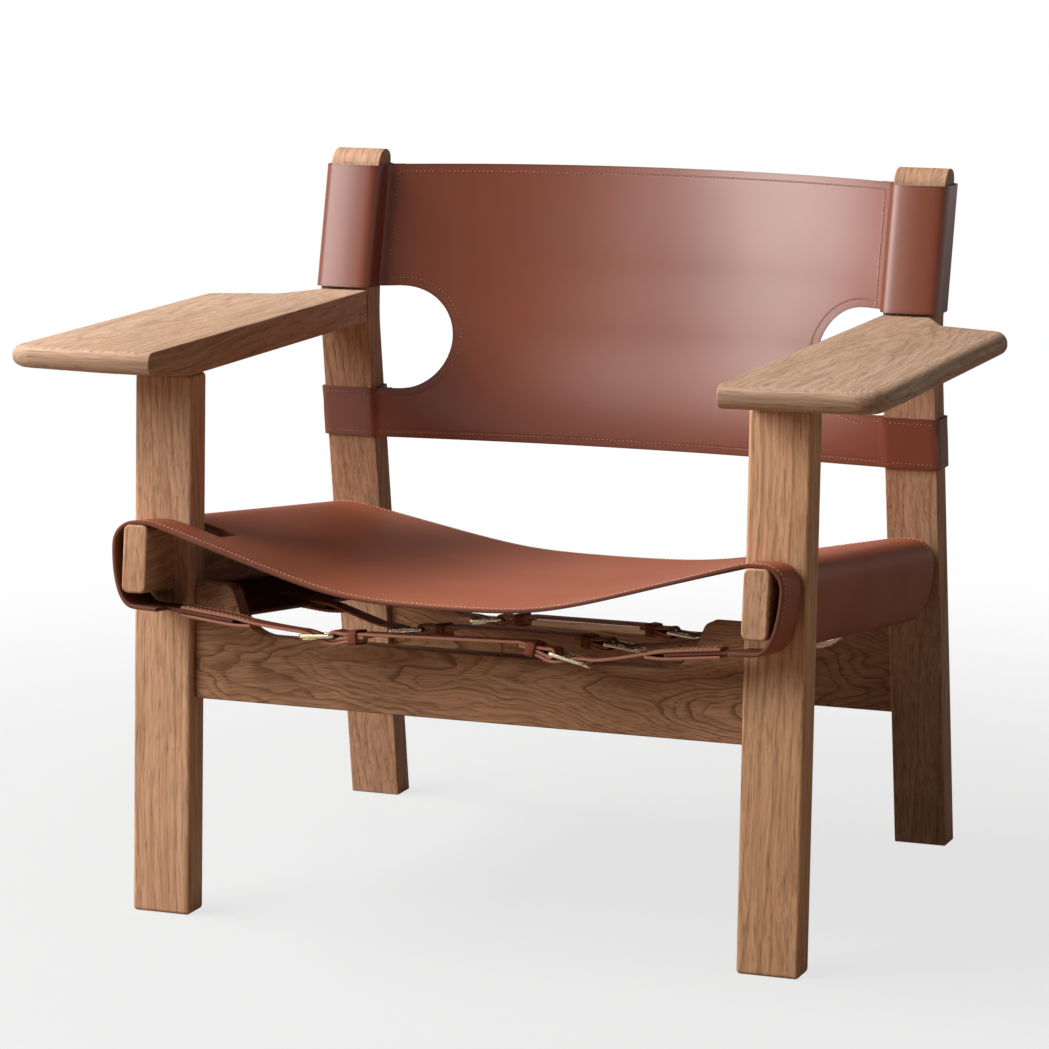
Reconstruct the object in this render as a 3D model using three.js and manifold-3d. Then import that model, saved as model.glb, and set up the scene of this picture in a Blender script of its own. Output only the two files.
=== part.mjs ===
// A leather sling lounge chair: an oak frame, a seat sling buckled under two side rails and a back sling
// sewn round two rear posts. Millimetres, Z up, the front towards -Y and the origin on the floor below the
// middle.
import * as THREE from "three";
import { mergeVertices } from "three/addons/utils/BufferGeometryUtils.js";
import Module from "manifold-3d";

const wasm = await Module();
wasm.setup();

// Driving sizes: clearances
const WOOD_GAP = 0.3; // between wood and wood at every joint
const LEATHER_GAP = 0.3; // between leather and what it lies on
const METAL_GAP = 0.4; // between brass and leather, and round the prong's eye

// Driving sizes: front legs
const CLEAR_HALF_WIDTH = 266; // from the middle of the chair to the inner faces of all four legs
const FRONT_LEG_WIDTH = 58;
const FRONT_LEG_DEPTH = 31;
const FRONT_LEG_FOOT_Y = -235.6; // front face at the floor
const FRONT_LEG_LEAN = 0.0465; // set back for each millimetre of height
const FRONT_TENON = { width: 38, depth: 15, height: 20 };

// Driving sizes: rear legs, which bend at arm height
const REAR_LEG_WIDTH = 52;
const REAR_LEG_DEPTH = 30;
const REAR_LEG_FOOT_Y = 265.1; // front face at the floor
const REAR_LEG_BEND_Y = 191.6; // front face at the bend
const REAR_LEG_TOP_Y = 228.3; // front face at the top
const REAR_LEG_BEND_Z = 522;
const REAR_LEG_TOP_Z = 670;
const LEG_EDGE_ROUND = 2.5;

// Driving sizes: armrests
const ARM_TOP_Z = 533.5;
const ARM_THICKNESS = 31.5; // on the legs
const ARM_EDGE_THICKNESS = 20; // at the front and outer edges, to which the underside rises
const ARM_LAND = 4; // flat underside beyond the leg's faces
const ARM_WIDTH = 146.5;
const ARM_FRONT_Y = -301.7;
const ARM_REAR_OUTER_Y = 117.8;
const ARM_REAR_INNER_Y = 138.8; // where the rear edge starts to curve to the post
const ARM_NECK_WIDTH = 80; // from the inner face to that start
const ARM_CORNER_ROUND = 22;
const ARM_EDGE_ROUND = 9;
const ARM_DOWEL = { radius: 5, length: 36, spacing: 26, depthInPost: 18 };

// Driving sizes: side rails, which pass through the front legs and slope down to the rear legs
const RAIL_THICKNESS = 24;
const RAIL_HEIGHT = 62;
const RAIL_SLOPE = THREE.MathUtils.degToRad(7);
const RAIL_FRONT_Y = -274.7; // top edge of the front end
const RAIL_FRONT_TOP_Z = 372.5;
const RAIL_EDGE_ROUND = 7;
const RAIL_HOUSING = 14; // how far it runs into the rear leg

// Driving sizes: stretchers, two alike boards with raised ears
const STRETCHER_THICKNESS = 20;
const STRETCHER_SETBACK = 8; // behind the front faces of the legs
const STRETCHER_EAR_HEIGHT = 107;
const STRETCHER_WAIST_HEIGHT = 62;
const STRETCHER_EAR_LENGTH = 37;
const STRETCHER_EAR_SLANT = 16;
const STRETCHER_WAIST_ROUND = 26;
const FRONT_STRETCHER_Z = 203; // lower edge
const REAR_STRETCHER_Z = 133;
const STRETCHER_TENON = { thickness: 11, height: 74, length: 24, above: 16 };

// Driving sizes: seat sling
const SEAT_LEATHER = 3.5;
const SEAT_FRONT = 2; // front edge, behind the rail's front end
const SEAT_REAR = 482; // rear edge
const SEAT_SAG_FRONT = 57;
const SEAT_SAG_REAR = 37;
const SAG_KNEE = 0.33; // share of the half width where the flat middle turns into the flank
const SAG_CRISPNESS = 12;
const WRAP_SIDE_GAP = 8.5; // slack between the rail and the hanging side
const WRAP_SHOULDER = 20; // radius over the outer edge of the rail
const WRAP_DROP = 11; // slack below the rail
const FLAP_LENGTH = 11; // from the inner face of the rail to the flap's edge
const TONGUE_LENGTH = 77; // from the inner face of the rail to the tip of each tongue
const TONGUE_WIDTH = 22;
const TONGUE_FALL = 8;
const SLOT_LENGTH = 30; // cut in the seat beside each front leg
const SLOT_GAP = 2;

// Driving sizes: straps and buckles
const STRAP_WIDTH = 24;
const STRAP_LEATHER = 2.8;
const TAB_LENGTH = 52; // of the two layers that hold a tongue
const BUCKLE_LENGTH = 31; // from the heel bar to the front bar
const BUCKLE_BAR = 3.6;
const BUCKLE_BAR_CHAMFER = 0.9;
const BUCKLE_SIDE_GAP = 1; // from the strap's edge to the side bar
const BUCKLE_CORNER = 5;
const PRONG_WIRE = 2.6;
const PRONG_EYE_WALL = 2;
const PRONG_EYE_WIDTH = 4;
const PRONG_SLOT_GAP = 0.8;
const PRONG_OVERHANG = 4;
const FOLD_LENGTH = 30;
const TAIL_LENGTH = 26; // beyond the heel bar
const KEEPER_WIDTH = 8;
const KEEPER_WALL = 1.8;
const KEEPER_PLACE = 19; // from the heel bar to the keeper's middle
// Each line of straps: its place along the rail, its fall below the rail's top, and the place across the
// chair and the tilt of its two heel bars.
const STRAP_LINES = [
  { name: "front", along: 36, fall: 89, left: { x: -107, tilt: 4 }, right: { x: 101, tilt: 12 } },
  { name: "middle", along: 245, fall: 97, left: { x: -107, tilt: 6 }, right: { x: 77, tilt: 6 } },
  { name: "rear", along: 452, fall: 101, left: { x: -107, tilt: 6 }, right: { x: 68, tilt: 6 } },
];

// Driving sizes: back sling
const BACK_LEATHER = 2.5;
const BACK_PANEL = 4.5;
const BACK_BOTTOM_Z = 384;
const BACK_TOP_Z = 655;
const BAND_TOP_Z = 433.5;
const SLEEVE_BOTTOM_Z = 536;
const CUTOUT_REACH = 76; // from the post's inner face to the deepest point of the cut-out
const BACK_SAG_BOTTOM = 21;
const BACK_SAG_TOP = 57;
const BACK_SAG_POWER = 2.2;
const SEAM_SETBACK = 18; // of the upper seam behind the front face of the post
const SEAM_LEVEL_Z = 560; // height from which the seam keeps that setback
const SEAM_GAP = 4; // from the post's inner face to the panel's edge
const SEAM_OVERLAP = 14; // sewn overlap of sleeve and panel
const SLEEVE_SIDE_GAP = 1.2;
const SLEEVE_FACE_GAP = 3.3;
const SLEEVE_BULGE = 3;
const SLEEVE_ROUND = 7;

// Colours by eye from the photograph
const oak = () => new THREE.MeshStandardMaterial({ color: 0xa87c5a, roughness: 0.6, metalness: 0 });
const leather = () => new THREE.MeshStandardMaterial({ color: 0x8a4d3a, roughness: 0.45, metalness: 0 });
const brass = () => new THREE.MeshStandardMaterial({ color: 0xd8b878, roughness: 0.25, metalness: 1 });

// Sizes that follow from the driving ones
const FRONT_LEG_OUTER = CLEAR_HALF_WIDTH + FRONT_LEG_WIDTH;
const REAR_LEG_OUTER = CLEAR_HALF_WIDTH + REAR_LEG_WIDTH;
const LOWER_LEAN = (REAR_LEG_BEND_Y - REAR_LEG_FOOT_Y) / REAR_LEG_BEND_Z;
const UPPER_LEAN = (REAR_LEG_TOP_Y - REAR_LEG_BEND_Y) / (REAR_LEG_TOP_Z - REAR_LEG_BEND_Z);
const ARM_BOTTOM_Z = ARM_TOP_Z - ARM_THICKNESS;
const ARM_OUTER = CLEAR_HALF_WIDTH + ARM_WIDTH;
const RAIL_MIDDLE = CLEAR_HALF_WIDTH + FRONT_LEG_WIDTH / 2;
const RAIL_INNER = RAIL_MIDDLE - RAIL_THICKNESS / 2;
const RAIL_OUTER = RAIL_MIDDLE + RAIL_THICKNESS / 2;
const { lerp, clamp, degToRad } = THREE.MathUtils;

const frontLegFace = (z) => FRONT_LEG_FOOT_Y + FRONT_LEG_LEAN * z;

function rearLegFace(z) {
  if (z < REAR_LEG_BEND_Z) {
    return REAR_LEG_FOOT_Y + LOWER_LEAN * z;
  }
  return REAR_LEG_BEND_Y + UPPER_LEAN * (z - REAR_LEG_BEND_Z);
}

// Solids: three.js geometry in, three.js geometry out, joined and cut in between
function toSolid(geometry) {
  const loose = geometry.index ? geometry.toNonIndexed() : geometry;
  const bare = new THREE.BufferGeometry().setAttribute("position", loose.getAttribute("position"));
  const merged = mergeVertices(bare, 1e-4);
  return new wasm.Manifold(
    new wasm.Mesh({
      numProp: 3,
      vertProperties: merged.attributes.position.array,
      triVerts: new Uint32Array(merged.index.array),
    }),
  );
}

function toGeometry(solid) {
  const mesh = solid.getMesh();
  const geometry = new THREE.BufferGeometry();
  geometry.setAttribute("position", new THREE.BufferAttribute(new Float32Array(mesh.vertProperties), 3));
  geometry.setIndex(new THREE.BufferAttribute(new Uint32Array(mesh.triVerts), 1));
  geometry.computeVertexNormals();
  return geometry;
}

const cut = (body, tools) => tools.reduce((rest, tool) => rest.subtract(tool), body);
const join = (bodies) => bodies.reduce((sum, body) => sum.add(body));

const AXIS_X = new THREE.Vector3(1, 0, 0);
const point = (x, y) => new THREE.Vector2(x, y);
const polygon = (points) => new THREE.Shape(points);

function rectangle(left, bottom, right, top) {
  return polygon([point(left, bottom), point(right, bottom), point(right, top), point(left, top)]);
}

// An extrusion of a flat shape whose edges are rounded, laid so that it starts at zero
function extrude(shape, length, round = 0, steps = 2) {
  const geometry = new THREE.ExtrudeGeometry(shape, {
    depth: length - 2 * round,
    bevelEnabled: round > 0,
    bevelThickness: round,
    bevelSize: round,
    bevelOffset: -round,
    bevelSegments: steps,
    curveSegments: 6,
  });
  return geometry.translate(0, 0, round);
}

// A side view drawn as (y, z) and extruded across the chair
function fromSide(shape, x0, x1, round = 0, steps = 2) {
  const turn = new THREE.Matrix4().set(0, 0, 1, x0, 1, 0, 0, 0, 0, 1, 0, 0, 0, 0, 0, 1);
  return extrude(shape, x1 - x0, round, steps).applyMatrix4(turn);
}

// A front view drawn as (x, z) and extruded from a front plane backwards
function fromFront(shape, y0, y1) {
  const turn = new THREE.Matrix4().set(1, 0, 0, 0, 0, 0, -1, y1, 0, 1, 0, 0, 0, 0, 0, 1);
  return extrude(shape, y1 - y0).applyMatrix4(turn);
}

// A plan drawn as (x, y) and extruded upwards, leaning back by a share of the height
function fromPlan(shape, z0, z1, lean = 0, y0 = 0) {
  const slant = new THREE.Matrix4().set(1, 0, 0, 0, 0, 1, lean, y0, 0, 0, 1, z0, 0, 0, 0, 1);
  return extrude(shape, z1 - z0).applyMatrix4(slant);
}

function box(x0, x1, y0, y1, z0, z1) {
  const geometry = new THREE.BoxGeometry(x1 - x0, y1 - y0, z1 - z0);
  return geometry.translate((x0 + x1) / 2, (y0 + y1) / 2, (z0 + z1) / 2);
}

const mirrored = (solid, side) => (side > 0 ? solid : solid.mirror([1, 0, 0]));

// The seat group lies on the side rails: its origin is the top edge of their front ends, +Y runs along them
// to the rear and Z is square to their top.
const chair = new THREE.Group();
const seat = new THREE.Group();
seat.position.set(0, RAIL_FRONT_Y, RAIL_FRONT_TOP_Z);
seat.rotation.x = -RAIL_SLOPE;
seat.updateMatrix();
chair.add(seat);
const intoSeat = seat.matrix.clone().invert();

function addPart(group, name, solid, material) {
  const mesh = new THREE.Mesh(toGeometry(solid), material);
  mesh.name = name;
  group.add(mesh);
}

// Front leg: a leaning post with a tenon for the arm and a mortise for the rail and the stretcher
function frontLeg() {
  const profile = polygon([
    point(frontLegFace(0), 0),
    point(frontLegFace(0) + FRONT_LEG_DEPTH, 0),
    point(frontLegFace(ARM_BOTTOM_Z) + FRONT_LEG_DEPTH, ARM_BOTTOM_Z - WOOD_GAP),
    point(frontLegFace(ARM_BOTTOM_Z), ARM_BOTTOM_Z - WOOD_GAP),
  ]);
  const post = toSolid(fromSide(profile, CLEAR_HALF_WIDTH, FRONT_LEG_OUTER, LEG_EDGE_ROUND, 1));
  const whole = join([post, toSolid(frontTenon(0))]);
  return cut(whole, [toSolid(railBody(WOOD_GAP)), stretcherTenon("front", WOOD_GAP)]);
}

function frontTenon(gap) {
  const middle = frontLegFace(ARM_BOTTOM_Z) + FRONT_LEG_DEPTH / 2;
  return box(
    RAIL_MIDDLE - FRONT_TENON.width / 2 - gap,
    RAIL_MIDDLE + FRONT_TENON.width / 2 + gap,
    middle - FRONT_TENON.depth / 2 - gap,
    middle + FRONT_TENON.depth / 2 + gap,
    ARM_BOTTOM_Z - 6,
    ARM_BOTTOM_Z + FRONT_TENON.height + gap,
  );
}

// Rear leg: splayed below the bend, leaning back above it, with a rounded top
function rearLeg() {
  const half = REAR_LEG_DEPTH / 2;
  const shoulder = REAR_LEG_TOP_Z - half;
  const profile = new THREE.Shape();
  profile.moveTo(rearLegFace(0), 0);
  profile.lineTo(rearLegFace(0) + REAR_LEG_DEPTH, 0);
  profile.lineTo(REAR_LEG_BEND_Y + REAR_LEG_DEPTH, REAR_LEG_BEND_Z);
  profile.lineTo(rearLegFace(shoulder) + REAR_LEG_DEPTH, shoulder);
  profile.absarc(rearLegFace(shoulder) + half, shoulder, half, 0, Math.PI, false);
  profile.lineTo(REAR_LEG_BEND_Y, REAR_LEG_BEND_Z);
  const post = toSolid(fromSide(profile, CLEAR_HALF_WIDTH, REAR_LEG_OUTER, LEG_EDGE_ROUND, 1));
  const holes = [-1, 1].map((side) => toSolid(dowel(side, WOOD_GAP)));
  return cut(post, [toSolid(railBody(WOOD_GAP)), stretcherTenon("rear", WOOD_GAP), ...holes]);
}

// Side rail: one sloping bar with rounded edges, square at its front end and housed in the rear leg
function railBody(gap) {
  const along = point(Math.cos(RAIL_SLOPE), -Math.sin(RAIL_SLOPE));
  const up = point(Math.sin(RAIL_SLOPE), Math.cos(RAIL_SLOPE));
  const frontTop = point(RAIL_FRONT_Y, RAIL_FRONT_TOP_Z);
  const frontLow = frontTop.clone().addScaledVector(up, -RAIL_HEIGHT);
  // The rear end is cut parallel to the rear leg's face.
  const rearOf = (start) => {
    const reach = rearLegFace(0) + RAIL_HOUSING + gap + LOWER_LEAN * start.y - start.x;
    return start.clone().addScaledVector(along, reach / (along.x - LOWER_LEAN * along.y));
  };
  const topStart = frontTop.clone().addScaledVector(up, gap).addScaledVector(along, -gap);
  const lowStart = frontLow.clone().addScaledVector(up, -gap).addScaledVector(along, -gap);
  const profile = polygon([lowStart, rearOf(lowStart), rearOf(topStart), topStart]);
  return fromSide(profile, RAIL_INNER - gap, RAIL_OUTER + gap, RAIL_EDGE_ROUND, 3);
}

// Stretcher: a board with raised ears and a tenon at each end, drawn upright and then leant with its legs
function stretcherLean(place) {
  const lean = place === "front" ? FRONT_LEG_LEAN : LOWER_LEAN;
  const low = place === "front" ? FRONT_STRETCHER_Z : REAR_STRETCHER_Z;
  const face = place === "front" ? frontLegFace(low) : rearLegFace(low);
  const turn = new THREE.Matrix4().makeRotationAxis(AXIS_X, -Math.atan(lean));
  return turn.setPosition(0, face + STRETCHER_SETBACK, low);
}

function stretcherTenon(place, gap) {
  const middle = STRETCHER_THICKNESS / 2;
  const tenon = box(
    CLEAR_HALF_WIDTH - WOOD_GAP - 4,
    CLEAR_HALF_WIDTH + STRETCHER_TENON.length + gap,
    middle - STRETCHER_TENON.thickness / 2 - gap,
    middle + STRETCHER_TENON.thickness / 2 + gap,
    STRETCHER_TENON.above - gap,
    STRETCHER_TENON.above + STRETCHER_TENON.height + gap,
  );
  return toSolid(tenon.applyMatrix4(stretcherLean(place)));
}

function stretcher(place) {
  const end = CLEAR_HALF_WIDTH - WOOD_GAP;
  const ear = end - STRETCHER_EAR_LENGTH;
  const foot = ear - STRETCHER_EAR_SLANT;
  const half = new THREE.Shape();
  half.moveTo(0, 0);
  half.lineTo(end, 0);
  half.lineTo(end, STRETCHER_EAR_HEIGHT);
  half.lineTo(ear, STRETCHER_EAR_HEIGHT);
  half.lineTo(lerp(ear, foot, 0.75), lerp(STRETCHER_EAR_HEIGHT, STRETCHER_WAIST_HEIGHT, 0.75));
  half.quadraticCurveTo(foot, STRETCHER_WAIST_HEIGHT, foot - STRETCHER_WAIST_ROUND, STRETCHER_WAIST_HEIGHT);
  half.lineTo(0, STRETCHER_WAIST_HEIGHT);
  const right = toSolid(fromFront(half, 0, STRETCHER_THICKNESS).applyMatrix4(stretcherLean(place)));
  const rightEnd = join([right, stretcherTenon(place, 0)]);
  return join([rightEnd, mirrored(rightEnd, -1)]);
}

// Armrest: a wide board, thinned from below towards its rounded outer and front edges and narrowed at the
// rear to a neck against the post
function armrest() {
  const neck = CLEAR_HALF_WIDTH + ARM_NECK_WIDTH;
  const round = ARM_CORNER_ROUND;
  const end = rearLegFace(ARM_BOTTOM_Z) + 60;
  const plan = new THREE.Shape();
  plan.moveTo(CLEAR_HALF_WIDTH, ARM_FRONT_Y);
  plan.lineTo(ARM_OUTER - round, ARM_FRONT_Y);
  plan.absarc(ARM_OUTER - round, ARM_FRONT_Y + round, round, -Math.PI / 2, 0, false);
  plan.lineTo(ARM_OUTER, ARM_REAR_OUTER_Y - round);
  plan.quadraticCurveTo(ARM_OUTER, ARM_REAR_OUTER_Y, ARM_OUTER - round, ARM_REAR_OUTER_Y + 3);
  plan.lineTo(neck, ARM_REAR_INNER_Y);
  plan.quadraticCurveTo(REAR_LEG_OUTER, ARM_REAR_INNER_Y + 8, REAR_LEG_OUTER, end);
  plan.lineTo(CLEAR_HALF_WIDTH, end);
  const board = toSolid(fromPlan(plan, ARM_BOTTOM_Z, ARM_TOP_Z));
  const edge = ARM_EDGE_ROUND;
  const thin = ARM_TOP_Z - ARM_EDGE_THICKNESS;
  const across = new THREE.Shape();
  across.moveTo(CLEAR_HALF_WIDTH, ARM_BOTTOM_Z);
  across.lineTo(FRONT_LEG_OUTER + ARM_LAND, ARM_BOTTOM_Z);
  across.lineTo(ARM_OUTER - edge, thin);
  across.absarc(ARM_OUTER - edge, thin + edge, edge, -Math.PI / 2, 0, false);
  across.absarc(ARM_OUTER - edge, ARM_TOP_Z - edge, edge, 0, Math.PI / 2, false);
  across.lineTo(CLEAR_HALF_WIDTH, ARM_TOP_Z);
  const roundedSide = toSolid(fromFront(across, ARM_FRONT_Y - 1, end + 1));
  const side = new THREE.Shape();
  side.moveTo(end, ARM_BOTTOM_Z);
  side.lineTo(end, ARM_TOP_Z);
  side.lineTo(ARM_FRONT_Y + edge, ARM_TOP_Z);
  side.absarc(ARM_FRONT_Y + edge, ARM_TOP_Z - edge, edge, Math.PI / 2, Math.PI, false);
  side.absarc(ARM_FRONT_Y + edge, thin + edge, edge, Math.PI, Math.PI * 1.5, false);
  side.lineTo(frontLegFace(ARM_BOTTOM_Z) - ARM_LAND, ARM_BOTTOM_Z);
  const roundedFront = toSolid(fromSide(side, CLEAR_HALF_WIDTH - 1, ARM_OUTER + 1));
  const rounded = board.intersect(roundedSide).intersect(roundedFront);
  const holes = [-1, 1].map((place) => toSolid(dowel(place, WOOD_GAP)));
  return cut(rounded, [postSpace(), toSolid(frontTenon(WOOD_GAP)), ...holes]);
}

// The room that the rear post and everything behind its front face takes from the arm
function postSpace() {
  const low = ARM_BOTTOM_Z - 10;
  const high = ARM_TOP_Z + 10;
  const behind = rearLegFace(high) + 200;
  const profile = polygon([
    point(rearLegFace(low) - WOOD_GAP, low),
    point(behind, low),
    point(behind, high),
    point(rearLegFace(high) - WOOD_GAP, high),
    point(REAR_LEG_BEND_Y - WOOD_GAP, REAR_LEG_BEND_Z),
  ]);
  return toSolid(fromSide(profile, 0, ARM_OUTER + 1));
}

// Dowel between arm and post, one on each side of the neck's middle
function dowel(place, gap) {
  const front = REAR_LEG_BEND_Y + ARM_DOWEL.depthInPost - ARM_DOWEL.length;
  const radius = ARM_DOWEL.radius + gap;
  const peg = new THREE.CylinderGeometry(radius, radius, ARM_DOWEL.length + 2 * gap, 12);
  const x = CLEAR_HALF_WIDTH + REAR_LEG_WIDTH / 2 + (place * ARM_DOWEL.spacing) / 2;
  return peg.translate(x, front + ARM_DOWEL.length / 2, ARM_TOP_Z - ARM_THICKNESS / 2);
}

// A sheet of even thickness whose middle surface is given as rows of points
function thickSheet(rows, thickness) {
  const rowCount = rows.length;
  const count = rows[0].length;
  const places = [];
  for (const side of [0.5, -0.5]) {
    rows.forEach((row, j) => {
      row.forEach((middle, i) => {
        const across = row[Math.min(i + 1, count - 1)].clone().sub(row[Math.max(i - 1, 0)]);
        const next = rows[Math.min(j + 1, rowCount - 1)][i];
        const along = next.clone().sub(rows[Math.max(j - 1, 0)][i]);
        const normal = across.cross(along).normalize();
        places.push(...middle.clone().addScaledVector(normal, side * thickness).toArray());
      });
    });
  }
  const under = rowCount * count;
  const faces = [];
  const quad = (a, b, c, d) => faces.push(a, b, c, a, c, d);
  for (let j = 0; j < rowCount - 1; j++) {
    for (let i = 0; i < count - 1; i++) {
      const a = j * count + i;
      quad(a, a + 1, a + count + 1, a + count);
      quad(under + a, under + a + count, under + a + count + 1, under + a + 1);
    }
  }
  const last = (rowCount - 1) * count;
  for (let i = 0; i < count - 1; i++) {
    quad(i, under + i, under + i + 1, i + 1);
    quad(last + i, last + i + 1, under + last + i + 1, under + last + i);
  }
  for (let j = 0; j < rowCount - 1; j++) {
    const a = j * count;
    const b = a + count - 1;
    quad(a, a + count, under + a + count, under + a);
    quad(b, under + b, under + b + count, b + count);
  }
  const geometry = new THREE.BufferGeometry();
  geometry.setAttribute("position", new THREE.Float32BufferAttribute(places, 3));
  geometry.setIndex(faces);
  return geometry;
}

// The seat's height across its half width, as a share of the sag: flat in the middle, straight flanks
function sagShape(share) {
  const soft = (t) => Math.log(1 + Math.exp(SAG_CRISPNESS * (t - SAG_KNEE)));
  return (soft(share) - soft(0)) / (soft(1) - soft(0));
}

// The seat leather's way from the rail's inner edge over the top, down the side and back below
const SEAT_LIFT = LEATHER_GAP + SEAT_LEATHER / 2;
const WRAP_SIDE = RAIL_OUTER + WRAP_SIDE_GAP + SEAT_LEATHER / 2;
const WRAP_BOTTOM = -RAIL_HEIGHT - WRAP_DROP - SEAT_LEATHER / 2;
const TONGUE_TIP = RAIL_INNER - TONGUE_LENGTH;
const TONGUE_TIP_FALL = WRAP_BOTTOM - TONGUE_FALL;

function wrapPoints() {
  const shoulder = WRAP_SIDE - WRAP_SHOULDER;
  const way = new THREE.Path();
  way.moveTo(RAIL_INNER, SEAT_LIFT);
  way.lineTo(shoulder, SEAT_LIFT);
  way.absarc(shoulder, SEAT_LIFT - WRAP_SHOULDER, WRAP_SHOULDER, Math.PI / 2, 0, true);
  way.bezierCurveTo(
    WRAP_SIDE,
    WRAP_BOTTOM * 0.55,
    RAIL_OUTER + WRAP_SIDE_GAP / 2,
    WRAP_BOTTOM,
    RAIL_INNER + RAIL_THICKNESS / 2,
    WRAP_BOTTOM,
  );
  way.lineTo(RAIL_INNER - FLAP_LENGTH, WRAP_BOTTOM - 1);
  way.lineTo(TONGUE_TIP, TONGUE_TIP_FALL);
  return way.getPoints(6).filter((p, i, all) => i === 0 || p.distanceTo(all[i - 1]) > 0.01);
}

function seatSling() {
  const wrap = wrapPoints();
  const sagSteps = 12;
  const rowSteps = 6;
  const rows = [];
  for (let j = 0; j <= rowSteps; j++) {
    const share = j / rowSteps;
    const y = lerp(SEAT_FRONT, SEAT_REAR, share);
    const sag = lerp(SEAT_SAG_FRONT, SEAT_SAG_REAR, share);
    const half = [];
    for (let i = 1; i < sagSteps; i++) {
      const t = i / sagSteps;
      half.push(point(t * RAIL_INNER, SEAT_LIFT - sag * (1 - sagShape(t))));
    }
    half.push(...wrap);
    const place = (p, side) => new THREE.Vector3(side * p.x, y, p.y);
    const left = half.map((p) => place(p, -1)).reverse();
    const right = half.map((p) => place(p, 1));
    rows.push([...left, place(point(0, SEAT_LIFT - sag), 1), ...right]);
  }
  const sheet = toSolid(thickSheet(rows, SEAT_LEATHER));
  const cuts = [legSlot(), ...flapCuts()];
  return cut(sheet, [...cuts, ...cuts.map((tool) => mirrored(tool, -1))]);
}

// The slot that lets a front leg stand up through the seat leather
function legSlot() {
  const low = RAIL_FRONT_TOP_Z - 200;
  const high = RAIL_FRONT_TOP_Z + 60;
  const profile = polygon([
    point(frontLegFace(low) - SLOT_GAP, low),
    point(frontLegFace(low) + FRONT_LEG_DEPTH + SLOT_GAP, low),
    point(frontLegFace(high) + FRONT_LEG_DEPTH + SLOT_GAP, high),
    point(frontLegFace(high) - SLOT_GAP, high),
  ]);
  const slot = fromSide(profile, CLEAR_HALF_WIDTH - SLOT_LENGTH, FRONT_LEG_OUTER + 40);
  return toSolid(slot.applyMatrix4(intoSeat));
}

// What is cut away between the tongues below the rail
function flapCuts() {
  const half = TONGUE_WIDTH / 2;
  const edges = STRAP_LINES.flatMap((line) => [line.along - half, line.along + half]);
  const stops = [SEAT_FRONT - 5, ...edges, SEAT_REAR + 5];
  const cuts = [];
  for (let i = 0; i < stops.length; i += 2) {
    const under = rectangle(stops[i], WRAP_BOTTOM - 40, stops[i + 1], WRAP_BOTTOM + 8);
    cuts.push(toSolid(fromSide(under, TONGUE_TIP - 10, RAIL_INNER - FLAP_LENGTH)));
  }
  return cuts;
}

// A strap seen from the front: the middle line, thickened to both sides
function ribbon(points, thickness) {
  const over = [];
  const below = [];
  points.forEach((p, i) => {
    const before = points[Math.max(i - 1, 0)];
    const after = points[Math.min(i + 1, points.length - 1)];
    const way = after.clone().sub(before).normalize();
    const normal = point(-way.y, way.x);
    over.push(p.clone().addScaledVector(normal, thickness / 2));
    below.push(p.clone().addScaledVector(normal, -thickness / 2));
  });
  return polygon([...below, ...over.reverse()]);
}

function smooth(points, steps) {
  const stops = points.map((p) => new THREE.Vector3(p.x, p.y, 0));
  const curve = new THREE.CatmullRomCurve3(stops, false, "centripetal");
  return curve.getPoints(steps).map((p) => point(p.x, p.y));
}

// A buckle's own view: s runs outwards from its heel bar along the strap and n downwards, to the side on
// which the prong and the end of the tail lie
const HOLE_RADIUS = Math.hypot(BUCKLE_BAR / 2, BUCKLE_BAR / 2 - BUCKLE_BAR_CHAMFER) + METAL_GAP;
const FOLD_RADIUS = HOLE_RADIUS + STRAP_LEATHER;
const TAIL_AT_FOLD = STRAP_LEATHER * 1.5 + LEATHER_GAP;
const TAIL_AT_HEEL = FOLD_RADIUS + LEATHER_GAP + STRAP_LEATHER / 2 + 0.5;
const TAIL_AT_FRONT = -(BUCKLE_BAR / 2 + METAL_GAP + STRAP_LEATHER / 2 + 0.5);

function buckleAt(line, side) {
  const { x, tilt } = side > 0 ? line.right : line.left;
  const z = -line.fall;
  const angle = degToRad(tilt);
  const place = (s, n) => {
    const across = s * Math.cos(angle) - n * Math.sin(angle);
    const up = -s * Math.sin(angle) - n * Math.cos(angle);
    return point(x + side * across, z + up);
  };
  return { x, y: line.along, z, side, tilt, place };
}

// Puts a front view drawn in s and n, made for a buckle on the right, in its place in the chair
function atBuckle(geometry, buckle) {
  const tilted = toSolid(geometry).mirror([0, 0, 1]).rotate([0, buckle.tilt, 0]);
  return mirrored(tilted, buckle.side).translate([buckle.x, buckle.y, buckle.z]);
}

function circle(x, y, radius) {
  return new THREE.Path().absarc(x, y, radius, 0, Math.PI * 2, false);
}

function buckleFrame(buckle) {
  const halfBar = BUCKLE_BAR / 2;
  const inner = STRAP_WIDTH / 2 + BUCKLE_SIDE_GAP;
  const outer = inner + BUCKLE_BAR;
  const innerCorner = BUCKLE_CORNER - BUCKLE_BAR + 1;
  const ring = roundedRectangle(-halfBar, -outer, BUCKLE_LENGTH + halfBar, outer, BUCKLE_CORNER);
  ring.holes.push(roundedRectangle(halfBar, -inner, BUCKLE_LENGTH - halfBar, inner, innerCorner));
  const geometry = new THREE.ExtrudeGeometry(ring, {
    depth: BUCKLE_BAR - 2 * BUCKLE_BAR_CHAMFER,
    bevelThickness: BUCKLE_BAR_CHAMFER,
    bevelSize: BUCKLE_BAR_CHAMFER,
    bevelOffset: -BUCKLE_BAR_CHAMFER,
    bevelSegments: 1,
    curveSegments: 3,
  });
  return atBuckle(geometry.translate(0, 0, -halfBar + BUCKLE_BAR_CHAMFER), buckle);
}

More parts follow.
